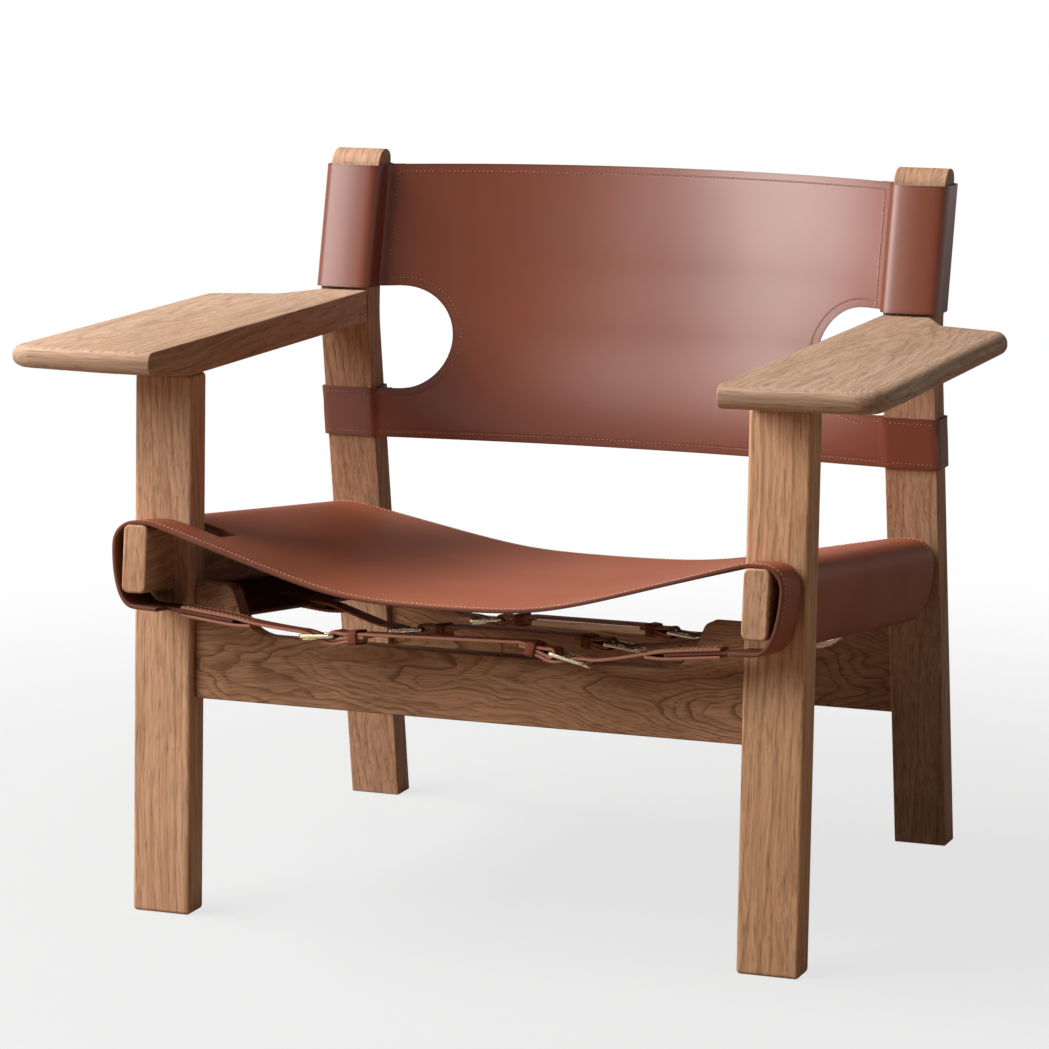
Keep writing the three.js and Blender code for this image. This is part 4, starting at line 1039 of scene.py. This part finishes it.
def seat_sewn(spot):
    """Distance to the seat's front or rear edge."""
    along = (seat_frame.inverted() @ spot).y
    return min(along - SEAT["front"], SEAT["rear"] - along)


seat = lay_sheet("leather_seat", 2 * half_columns, len(sample_rows) - 1, seat_spot, seat_kept)
mark_edges(seat, sewn=seat_sewn)
face_towards(seat, (0, 0, 1), (0, 0, 0.28))
seat_area = give_thickness(seat, SEAT["leather"], leather_seat)
round_rim(seat, 0.0008)
seat_width = 2 * length_of(seat_half(TONGUES["middle"]))
hand_over(seat, CHAIR, "leather", "seat_sling")
print("seat cut", round(seat_width, 3), "by", SEAT["rear"] - SEAT["front"], "area", round(seat_area, 4))

# %% [markdown]
# ## Back sling
# The back is one sheet. Between the posts it hollows under a sitter's weight. Above the arms both ends fold
# round the posts as sleeves, and below the arms as two narrower bands; the fold's end is sewn to the rear of
# the panel. Between sleeve and band a D-shaped opening leaves room for the arm, and it is punched out with a
# round cutter.

# %% Back surface
BACK = {"leather": 0.003, "bottom": 0.384, "top": 0.655, "band_top": 0.4335, "sleeve_bottom": 0.536, "edge": 0.262}
CUTOUT = {"x": 0.24125, "z": 0.48475, "radius": 0.05125}
# The panel starts behind the posts' faces, sags more towards its top, and swells a little at mid-height.
SET_BACK, SET_BACK_OVER, SAG_LOW, SAG_GAIN = 0.018, 0.176, 0.021, 0.036
SWELL, SWELL_FROM, SWELL_OVER, SWELL_ZERO = 0.0105, 0.375, 0.12, 0.0055
TOP_LOSS, TOP_FROM, TOP_OVER = 0.0041, 0.55, 0.105
upper_lean = (REAR_FACE["top"] - REAR_FACE["bend"]) / (REAR_LEG["top_z"] - bend_z)


def post_face(z, softness=0.004):
    """Front face of the rear post at a height, with its bend drawn out by the softness."""
    past = (z - bend_z) / softness
    ramp = softness * (past if past > 30 else math.log(1 + math.exp(past)))
    return REAR_FACE["foot"] + rear_lean * z + (upper_lean - rear_lean) * ramp


def ease_in(z, start, length):
    """Goes smoothly from 0 to 1 over a length that starts at a height."""
    t = min(max((z - start) / length, 0.0), 1.0)
    return t * t * (3 - 2 * t)


def back_depth(x, z):
    """The panel's place from front to rear."""
    share = abs(x) / BACK["edge"]
    height = (z - BACK["bottom"]) / (BACK["top"] - BACK["bottom"])
    set_back = SET_BACK * ease_in(z, BACK["bottom"], SET_BACK_OVER)
    sag = SAG_LOW + SAG_GAIN * height
    swell = SWELL * ease_in(z, SWELL_FROM, SWELL_OVER) - TOP_LOSS * max((z - TOP_FROM) / TOP_OVER, 0.0) ** 2
    hollow = sag * (1 - share ** 2.2) + (swell - SWELL_ZERO) * (1 - share ** 4)
    return post_face(z, 0.045 - 0.035 * share ** 3) + set_back + hollow


print("hollow at the top", round(back_depth(0, 0.65) - back_depth(BACK["edge"], 0.65), 4), "m")

# %% Sleeve and band
PANEL_COLUMNS, MARGIN_COLUMNS, LOOP_COLUMNS = 60, 6, 60
POST_MIDDLE, POST_SIDE_MIDDLE = 0.026, 0.015


def loop_line(z):
    """The fold round the right post at a height, as (across, behind the post's face), from the panel's end."""
    half = BACK["leather"] / 2
    start = back_depth(BACK["edge"], z) - post_face(z)
    sleeve = z > 0.5
    side_gap, face_gap, bulge = (0.0012, 0.0033, 0.0018) if sleeve else (0.0003, 0.0003, 0.0)
    turn = 0.005 if sleeve else 0.0022
    inner, outer = CLEAR - 0.0004 - half, CLEAR + REAR_LEG["width"] + side_gap + half
    middle, front, rear = CLEAR + POST_MIDDLE, -face_gap - half, REAR_LEG["depth"] + face_gap + half
    if sleeve:
        line = [(BACK["edge"], start), (inner - 0.0003, start - 0.004), (inner, start - 0.009), (inner, 0.003)]
    else:
        line = [(BACK["edge"], start), (CLEAR - 0.0008, front + 0.001)]
    line += [
        (inner + turn * 0.3, front + turn * 0.6),
        (inner + turn, front),
        (inner + 0.014, front - bulge * 0.65),
        (middle, front - bulge),
        (outer - 0.014, front - bulge * 0.65),
        (outer - turn, front),
        (outer - turn * 0.25, front + turn * 0.5),
        (outer, front + 1.6 * turn),
        (outer, POST_SIDE_MIDDLE),
        (outer, rear - 1.6 * turn),
        (outer - turn * 0.25, rear - turn * 0.5),
        (outer - turn, rear),
        (middle, rear + bulge * 0.4),
        (inner + turn, rear),
        (inner + turn * 0.3, rear - turn * 0.6),
        (inner, rear - 1.6 * turn - 0.001),
        (inner - 0.0003, start + 0.0075),
        (inner - 0.0018, start + 0.0046),
    ]
    for x in (0.2585, 0.254, 0.249):
        line.append((x, back_depth(x, z) - post_face(z) + BACK["leather"] + 0.0004))
    return even_steps(soften(line), LOOP_COLUMNS)


print("sleeve fold", round(length_of(loop_line(0.6)), 4), "m, band fold", round(length_of(loop_line(0.4)), 4), "m")

# %% Back sheet
BAND_ROWS, OPEN_ROWS, SLEEVE_ROWS, SLEEVE_SEAM_EDGE = 14, 28, 32, 0.261
back_heights = []
for low, high, count in ((BACK["bottom"], BACK["band_top"], BAND_ROWS),
                         (BACK["band_top"], BACK["sleeve_bottom"], OPEN_ROWS),
                         (BACK["sleeve_bottom"], BACK["top"], SLEEVE_ROWS)):
    back_heights += [low + (high - low) * i / count for i in range(count)]
back_heights.append(BACK["top"])
panel_places = [CUTOUT["x"] * i / PANEL_COLUMNS for i in range(PANEL_COLUMNS)]
panel_places += [CUTOUT["x"] + (BACK["edge"] - CUTOUT["x"]) * i / MARGIN_COLUMNS for i in range(MARGIN_COLUMNS + 1)]
back_half = PANEL_COLUMNS + MARGIN_COLUMNS + LOOP_COLUMNS
loop_store = {z: loop_line(z) for z in back_heights}


def back_spot(i, j):
    """Corner i across and j up, in the chair's frame."""
    column, side, z = abs(i - back_half), 1 if i >= back_half else -1, back_heights[j]
    if column < len(panel_places):
        x = panel_places[column]
        return Vector((side * x, back_depth(x, z), z))
    x, behind = loop_store[z][column - len(panel_places) + 1]
    return Vector((side * x, post_face(z) + behind, z))


def back_kept(i, j):
    """False beyond the cut-outs' centres, between band and sleeve."""
    column = i - back_half if i >= back_half else back_half - 1 - i
    return not (BAND_ROWS <= j < BAND_ROWS + OPEN_ROWS and column >= PANEL_COLUMNS)


def back_sewn(spot):
    """Distance to the sewn outline of the panel, or to a band's edge; a sleeve has no seam."""
    x, z = abs(spot.x), spot.z
    in_band, in_sleeve = z < BACK["band_top"] + 1e-4, z > BACK["sleeve_bottom"] - 1e-4
    if x > BACK["edge"]:
        return min(z - BACK["bottom"], BACK["band_top"] - z) + 0.0025 if in_band else GAP_LIMIT
    gap = min(BACK["top"] - z, z - BACK["bottom"])
    if x < CUTOUT["x"] + 1e-4:
        gap = min(gap, math.hypot(x - CUTOUT["x"], z - CUTOUT["z"]) - CUTOUT["radius"])
    return min(gap, SLEEVE_SEAM_EDGE - x) if in_sleeve else gap


def half_round(radius, steps):
    """Points (across, up) on the inner half of a circle round the right cut-out's centre."""
    turns = [math.pi / 2 + math.pi * step / steps for step in range(steps + 1)]
    return [(CUTOUT["x"] + radius * math.cos(t), CUTOUT["z"] + radius * math.sin(t)) for t in turns]


back = lay_sheet("leather_back", 2 * back_half, len(back_heights) - 1, back_spot, back_kept)
rim = [Vector((side * x, back_depth(x, z), z)) for x, z in half_round(CUTOUT["radius"], 60) for side in SIDES.values()]
mark_edges(back, rim, back_sewn)
face_towards(back, (0, -1, 0), (0, 0.28, 0.6))
back_area = give_thickness(back, BACK["leather"], leather_back)
print("back sheet", len(back.data.polygons), "faces")

# %% Punch the cut-outs
for side in SIDES.values():
    let_go()
    bpy.ops.mesh.primitive_cylinder_add(vertices=96, radius=CUTOUT["radius"], depth=0.3,
                                        rotation=(math.pi / 2, 0, 0),
                                        location=(side * CUTOUT["x"], 0.22, CUTOUT["z"]))
    punch = bpy.context.object
    settle()
    dress(punch, leather_back, leather_cut, leather_flesh)
    for face in punch.data.polygons:
        face.material_index = 1
    use_modifier(back, "BOOLEAN", operation="DIFFERENCE", solver="EXACT", object=punch, material_mode="INDEX")
    bpy.data.objects.remove(punch)
smooth(back, 50)
back_width = 2 * (length_of([(x, back_depth(x, 0.6)) for x in panel_places]) + length_of(loop_line(0.6)))
hand_over(back, CHAIR, "leather", "back_sling")

# %% [markdown]
# ## Straps
# Under the seat each pair of tongues is tied by three pieces of strap: a sewn end on the left, one on the
# right, and a centre strap folded round the heel bars of two buckles. A strap is a line seen from the front
# and a width, so one helper makes them all. The slits that the prongs swing in are cells cut out of the grid.

# %% Strap places
STRAP = {"half": 0.012, "leather": 0.0028, "round_end": 0.011}
BUCKLE = {"length": 0.031, "bar": 0.0036, "half_width": 0.0166, "hole": 0.00241}
STRAP_LINES = {
    "front": {"along": TONGUES["front"], "fall": 0.089, "left": (-0.107, 4), "right": (0.101, 12)},
    "middle": {"along": TONGUES["middle"], "fall": 0.097, "left": (-0.107, 6), "right": (0.077, 6)},
    "rear": {"along": TONGUES["rear"], "fall": 0.101, "left": (-0.107, 6), "right": (0.068, 6)},
}
BUCKLES = [(line_name, side_name) for line_name in STRAP_LINES for side_name in SIDES]
STRAP_WIDTHS = [-STRAP["half"], -0.0095, -0.006, -0.0023, 0.0023, 0.006, 0.0095, STRAP["half"]]
MIDDLE_CELL = 3


def buckle_frame(line, side_name):
    """The buckle's own frame: outwards from its heel bar, along the rail, and up."""
    x, tilt = line[side_name]
    side, angle = SIDES[side_name], math.radians(tilt)
    axes = Matrix.Identity(4)
    axes.col[0][:3] = (side * math.cos(angle), 0, -math.sin(angle))
    axes.col[2][:3] = (side * math.sin(angle), 0, math.cos(angle))
    axes.col[3][:3] = (x, line["along"], -line["fall"])
    return axes


def at_buckle(line, side_name, out, up):
    """A point in the middle of the strap, in the seat's frame, as (across, up)."""
    spot = buckle_frame(line, side_name) @ Vector((out, 0, up))
    return spot.x, spot.z


def put_at_buckle(piece, line_name, side_name):
    """Moves a piece from a buckle's own frame to its place under the seat."""
    put_at(piece, seat_frame @ buckle_frame(STRAP_LINES[line_name], side_name))


def add_strap(name, points, along, steps, slits=(), round_end=False):
    """A strap along a line of (across, up) points. Slits are (first, last) shares of its length."""
    line = even_steps(points, steps)

    def place(i, j):
        narrow = 1.0
        if round_end:
            rest = length_of(line[j:]) if j < len(line) - 1 else 0.0
            narrow = math.sqrt(max(1 - max(1 - rest / STRAP["round_end"], 0.0) ** 2, 0.12))
        return seat_frame @ Vector((line[j].x, along + STRAP_WIDTHS[i] * narrow, line[j].y))

    def kept(i, j):
        share = (j + 0.5) / steps
        return not (i == MIDDLE_CELL and any(low < share < high for low, high in slits))

    strap = lay_sheet(name, len(STRAP_WIDTHS) - 1, steps, place, kept)
    mark_edges(strap)
    return strap, line


print(len(STRAP_LINES), "lines of straps")

# %% Centre straps
SLIT_FROM, SLIT_TO, FOLD_TURN = 0.0205, 0.0415, 122
sheets = []
centre_lines = {}
fold = BUCKLE["hole"] + STRAP["leather"] / 2
half = STRAP["leather"] / 2 + 0.00005
fold_end = [(-0.030, -half), (-0.016, -half), (-0.0085, -half - 0.0006)]
for step in range(15):
    turn = math.radians(-FOLD_TURN + 2 * FOLD_TURN * step / 14)
    fold_end.append((fold * math.cos(turn), fold * math.sin(turn)))
fold_end += [(-0.0085, half + 0.0006), (-0.016, half), (-0.030, half)]
for line_name, line in STRAP_LINES.items():
    left = [at_buckle(line, "left", *p) for p in fold_end]
    right = [at_buckle(line, "right", *p) for p in reversed(fold_end)]
    way = soften(left, 1) + soften(right, 1)
    total = length_of(way)
    slit = (SLIT_FROM / total, SLIT_TO / total)
    strap, strap_line = add_strap(f"leather_centre_strap_{line_name}", way, line["along"], 150,
                                  [slit, (1 - slit[1], 1 - slit[0])])
    face_towards(strap, (0, 0, 1), seat_frame @ Vector((0, line["along"], -line["fall"])))
    area = give_thickness(strap, STRAP["leather"], leather_strap, strap_cut)
    round_rim(strap, 0.0005)
    hand_over(strap, CHAIR, "leather", f"centre_strap_{line_name}")
    centre_lines[line_name] = strap_line
    holders = [f"buckle_frame_{line_name}_left", f"buckle_frame_{line_name}_right"]
    sheets.append((strap, (2 * STRAP["half"], total), area, "folded", holders))

# %% Strap ends
TAB_OUTER, TAB_MIDDLE, TONGUE_ROOT, APART = 0.258, 0.232, 0.2045, 0.00345
TAIL_SLIT_FROM, TAIL_SLIT_TO = 0.0555, 0.0295
# The tail goes over the buckle's front bar, through the frame and under the heel bar, as (out, down).
TAIL = ((0.043, -0.0053), (0.031, -0.0041), (0.0192, -0.0004), (0.0087, 0.00541), (0, 0.00741),
        (-0.0104, 0.0048), (-0.026, 0.0045))


def tongue_height(x):
    """Middle of the tongue's thickness at a place across the chair."""
    return WRAP_BOTTOM - 0.001 + (TONGUE_Z - WRAP_BOTTOM + 0.001) * (FLAP_X - x) / (FLAP_X - TONGUE_X)


end_lines = {}
for line_name, side_name in BUCKLES:
    line, side = STRAP_LINES[line_name], SIDES[side_name]

    def beside(x, up):
        return side * x, tongue_height(x) + up

    upper = [beside(TAB_OUTER, APART), beside(TAB_MIDDLE, APART), beside(TONGUE_ROOT, APART),
             beside(TONGUE_ROOT - 0.012, APART / 2)]
    upper += [at_buckle(line, side_name, out, -down) for out, down in TAIL]
    under = [beside(TAB_OUTER, -APART), beside(TAB_MIDDLE, -APART), beside(TONGUE_ROOT + 0.001, -APART),
             beside(TONGUE_ROOT - 0.008, -APART * 0.62), beside(TONGUE_ROOT - 0.016, APART / 2 - 0.0030)]
    way = soften(upper, 3)
    total = length_of(way)
    slit = ((total - TAIL_SLIT_FROM) / total, (total - TAIL_SLIT_TO) / total)
    on_tab = seat_frame @ Vector((side * TAB_MIDDLE, line["along"], tongue_height(TAB_MIDDLE)))
    strap, strap_line = add_strap(f"leather_strap_end_{line_name}_{side_name}", way, line["along"], 90, [slit], True)
    face_towards(strap, (0, 0, 1), on_tab)
    area = give_thickness(strap, STRAP["leather"], leather_strap, strap_cut)
    lower, lower_line = add_strap(f"leather_tab_{line_name}_{side_name}", soften(under, 2), line["along"], 34)
    face_towards(lower, (0, 0, -1), on_tab)
    area += give_thickness(lower, STRAP["leather"], leather_strap, strap_cut)
    join_to(strap, lower)
    round_rim(strap, 0.0005)
    hand_over(strap, CHAIR, "leather", f"strap_end_{line_name}_{side_name}")
    end_lines[line_name, side_name] = (strap_line, lower_line)
    cut_size = (2 * STRAP["half"], total + length_of(under))
    sheets.append((strap, cut_size, area, "stretched", [f"buckle_frame_{line_name}_{side_name}", "leather_seat"]))

# %% [markdown]
# ## Keepers
# A keeper is a narrow loop of leather that holds the loose end of the strap. It is a block with its two ends
# taken off, its long edges rounded, and a wall added outwards.

# %% Keepers
KEEPER_LOW, KEEPER_HIGH, KEEPER_WALL = (-0.023, -0.0123, -0.0065), (-0.015, 0.0123, 0.0031), 0.0018
for line_name, side_name in BUCKLES:
    loop = add_block(f"leather_keeper_{line_name}_{side_name}", KEEPER_LOW, KEEPER_HIGH)
    round_edges(loop, lambda a, b: abs(a.x - b.x) > 0.005, 0.0014, 4)
    pick(loop, "FACE", lambda f: abs(f.normal.x) > 0.9)
    bpy.ops.mesh.delete(type="FACE")
    leave_edit()
    mark_edges(loop)
    give_thickness(loop, KEEPER_WALL, leather_strap, offset=1)
    put_at_buckle(loop, line_name, side_name)
    round_rim(loop, 0.0004)
    hand_over(loop, CHAIR, "leather", f"strap_keeper_{line_name}_{side_name}")

# %% [markdown]
# ## Buckles
# The frame is a rounded rectangle of square bar: a flat plate with rounded corners is inset, its middle is
# removed, and the rest is thickened and bevelled. The prong is an eye on the heel bar and a pin that lies
# under the front bar with a narrowed tip. Each prong turns with its own body.


# %% Buckle frames
def add_buckle(name):
    """A buckle frame in its own frame, with the heel bar at zero."""
    let_go()
    bar, length = BUCKLE["bar"], BUCKLE["length"]
    bpy.ops.mesh.primitive_plane_add(size=1, location=(length / 2, 0, 0))
    ring = bpy.context.object
    ring.name = name
    ring.scale = (length + bar, 2 * BUCKLE["half_width"], 1)
    settle()
    pick(ring, "VERT", everything)
    bpy.ops.mesh.bevel(offset=0.005, segments=6, affect="VERTICES")
    leave_edit()
    pick(ring, "FACE", everything)
    bpy.ops.mesh.inset(thickness=bar)
    bpy.ops.mesh.delete(type="FACE")
    leave_edit()
    use_modifier(ring, "SOLIDIFY", thickness=bar, offset=0)
    bevel_sharp(ring, 0.001, 3, 50)
    return ring


for line_name, side_name in BUCKLES:
    ring = add_buckle(f"brass_frame_{line_name}_{side_name}")
    put_at_buckle(ring, line_name, side_name)
    dress(ring, brass)
    smooth(ring, 40)
    hand_over(ring, CHAIR, "brass", f"buckle_frame_{line_name}_{side_name}")

# %% Prongs
PRONG_START, PRONG_TIP = Vector((0.0034, 0, -0.0013)), Vector((0.035, 0, -0.0037))
PRONG = {"eye": 0.00341, "wire": 0.001, "eye_width": 1.9, "pin": 0.0013, "tip_share": 0.62}
pin_run = PRONG_TIP - PRONG_START
for line_name, side_name in BUCKLES:
    let_go()
    bpy.ops.mesh.primitive_torus_add(major_radius=PRONG["eye"], minor_radius=PRONG["wire"], major_segments=28,
                                     minor_segments=10, rotation=(math.pi / 2, 0, 0))
    eye = bpy.context.object
    eye.scale = (1, 1, PRONG["eye_width"])
    settle()
    let_go()
    turn = pin_run.to_track_quat("Z", "Y").to_euler()
    bpy.ops.mesh.primitive_cylinder_add(vertices=14, radius=PRONG["pin"], depth=pin_run.length,
                                        location=(PRONG_START + PRONG_TIP) / 2, rotation=turn)
    pin = bpy.context.object
    pin.name = f"brass_prong_{line_name}_{side_name}"
    settle()
    for place in (0.027, 0.031):
        slice_at(pin, (place, 0, -0.003), (1, 0, 0))
    pick(pin, "VERT", lambda v: v.co.x > 0.033)
    bpy.ops.transform.resize(value=(1, PRONG["tip_share"], PRONG["tip_share"]), center_override=PRONG_TIP)
    leave_edit()
    bevel_sharp(pin, 0.0004, 2, 60)
    join_to(pin, eye)
    put_at_buckle(pin, line_name, side_name)
    pin.data.materials.clear()
    dress(pin, brass)
    smooth(pin, 50)
    hand_over(pin, f"prong_{line_name}_{side_name}", "brass", f"buckle_prong_{line_name}_{side_name}")

# %% [markdown]
# ## Stitching
# Every seam is sewn with about one stitch every four millimetres. One stitch is a tiny stretched ball with
# few faces. It is copied along each seam, turned with the seam and half sunk into the leather.

# %% Stitch helpers
STITCH = {"pitch": 0.0042, "length": 0.0029, "thickness": 0.001}
let_go()
bpy.ops.mesh.primitive_uv_sphere_add(segments=6, ring_count=4, radius=1)
model_stitch = bpy.context.object
stitch_corners = [v.co.copy() for v in model_stitch.data.vertices]
stitch_faces = [list(f.vertices) for f in model_stitch.data.polygons]
bpy.data.objects.remove(model_stitch)


def sew(name, seams, material=thread):
    """Stitches along seams. A seam is a list of (spot, outward direction) pairs."""
    length, thickness = STITCH["length"], STITCH["thickness"]
    corners, faces = [], []
    for seam in seams:
        spots = [spot for spot, _ in seam]
        even = even_steps(spots, max(int(length_of(spots) / STITCH["pitch"]), 1))
        for a, b in zip(even, even[1:]):
            middle, run = (a + b) / 2, (b - a).normalized()
            out = min(seam, key=lambda s: (s[0] - middle).length)[1]
            out = (out - run * out.dot(run)).normalized()
            turn = Matrix((run, out.cross(run), out)).transposed()
            base = len(corners)
            for c in stitch_corners:
                scaled = Vector((c.z * length / 2, c.y * thickness / 2, c.x * thickness / 2))
                corners.append(middle + turn @ scaled + out * thickness * 0.1)
            faces += [[base + k for k in face] for face in stitch_faces]
    data = bpy.data.meshes.new(name)
    data.from_pydata(corners, [], faces)
    piece = bpy.data.objects.new(name, data)
    bpy.context.scene.collection.objects.link(piece)
    turn_outwards(piece)
    take(piece)
    bpy.ops.object.shade_smooth()
    dress(piece, material)
    hand_over(piece, CHAIR, "leather")
    return piece


print("one stitch has", len(stitch_faces), "faces")

# %% Back stitching
BAND_INSET, SLEEVE_SEAM_X, BAND_SEAM = 0.005, 0.2535, slice(3, 46)


def on_panel(x, z):
    """A spot on the front of the panel, and the direction out of it."""
    step = 0.002
    slope_x = (back_depth(x + step, z) - back_depth(x - step, z)) / (2 * step)
    slope_z = (back_depth(x, z + step) - back_depth(x, z - step)) / (2 * step)
    out = Vector((slope_x, -1, slope_z)).normalized()
    return Vector((x, back_depth(x, z), z)) + out * BACK["leather"] / 2, out


def trace(points, step=0.003):
    """The same outline in short steps."""
    return even_steps([Vector(p) for p in points], max(int(length_of(points) / step), 2))


seam_radius = CUTOUT["radius"] + SEAM_INSET
outline = [(0, BACK["top"] - SEAM_INSET), (SLEEVE_SEAM_X, BACK["top"] - SEAM_INSET)]
outline += [(SLEEVE_SEAM_X, CUTOUT["z"] + seam_radius), *half_round(seam_radius, 40)]
outline.append((BACK["edge"], BACK["band_top"] - BAND_INSET))
lower_edge = [(0, BACK["bottom"] + SEAM_INSET), (BACK["edge"], BACK["bottom"] + BAND_INSET)]
back_seams = []
for side in SIDES.values():
    back_seams += [[on_panel(side * p.x, p.y) for p in trace(way)] for way in (outline, lower_edge)]
for z in (BACK["bottom"] + BAND_INSET, BACK["band_top"] - BAND_INSET):
    fold = loop_line(z)[BAND_SEAM]
    for side in SIDES.values():
        seam = []
        for k in range(1, len(fold) - 1):
            run = fold[k + 1] - fold[k - 1]
            out = Vector((side * run.y, -run.x, 0)).normalized()
            spot = Vector((side * fold[k].x, post_face(z) + fold[k].y, z))
            seam.append((spot + out * BACK["leather"] / 2, out))
        back_seams.append(seam)
back_thread = sew("thread_back", back_seams)

# %% Seat stitching
SEWN_WRAP_COLUMNS = 22


def on_section(line, k, along, leather, up=0):
    """A spot on leather drawn as a section, and the direction out of it: above with up 1, below with -1."""
    run = line[k + 1] - line[k - 1]
    out = Vector((-run.y, 0, run.x)).normalized()
    if out.z * up < 0:
        out = -out
    spot = Vector((line[k].x, along, line[k].y)) + out * leather / 2
    return seat_frame @ spot, seat_frame.to_3x3() @ out


seat_seams = []
for along in (SEAT["front"] + SEAM_INSET, SEAT["rear"] - SEAM_INSET):
    half_line = seat_half(along)[: RAIL_COLUMN + SEWN_WRAP_COLUMNS]
    full = [Vector((-p.x, p.y)) for p in reversed(half_line[1:])] + list(half_line)
    seat_seams.append([on_section(full, k, along, SEAT["leather"]) for k in range(1, len(full) - 1)])
seat_thread = sew("thread_seat", seat_seams, pale_thread)

# %% Strap stitching
TAB_SEAM, CROSS_SEAM, TAB_END, FOLD_SEAM = 0.0092, 0.0088, 0.190, (0.064, 0.067)


def strap_seam(line, along, last, offset, up):
    """A seam along a strap line up to an index, at an offset from its middle, above or below."""
    return [on_section(line, k, along + offset, STRAP["leather"], up) for k in range(2, last + 1)]


def cross_seam(line, along, index):
    """A seam straight across the top of a strap."""
    return [on_section(line, index, along + w, STRAP["leather"], 1) for w in (-CROSS_SEAM, 0, CROSS_SEAM)]


for line_name, line in STRAP_LINES.items():
    along = line["along"]
    for side_name in SIDES:
        upper_line, lower_line = end_lines[line_name, side_name]
        tab_end = min(range(len(upper_line)), key=lambda k: abs(abs(upper_line[k].x) - TAB_END))
        seams = [strap_seam(upper_line, along, tab_end, w, 1) for w in (-TAB_SEAM, TAB_SEAM)]
        seams += [strap_seam(lower_line, along, len(lower_line) - 3, w, -1) for w in (-TAB_SEAM, TAB_SEAM)]
        seams += [cross_seam(upper_line, along, k) for k in (3, tab_end)]
        sew(f"thread_tab_{line_name}_{side_name}", seams, pale_thread)
    way = centre_lines[line_name]
    mark = next(k for k in range(2, len(way) - 2) if FOLD_SEAM[0] < length_of(way[:k + 1]) < FOLD_SEAM[1])
    seams = [cross_seam(way, along, k) for k in (mark, len(way) - 1 - mark)]
    sew(f"thread_centre_{line_name}", seams)

# %% [markdown]
# ## The strap sheets
# Each strap sheet was listed above with the size it was cut to and its area. The loop below only reads
# a line and a side from each strap's name.

for strap, flat, area, held, rests_on in sheets:
    line_name = [n for n in STRAP_LINES if f"_{n}" in strap.name][0]
    side_name = strap.name.rsplit("_", 1)[1]
print(2 + len(sheets), "sheets declared")

# %% Back to object mode with nothing selected
let_go()
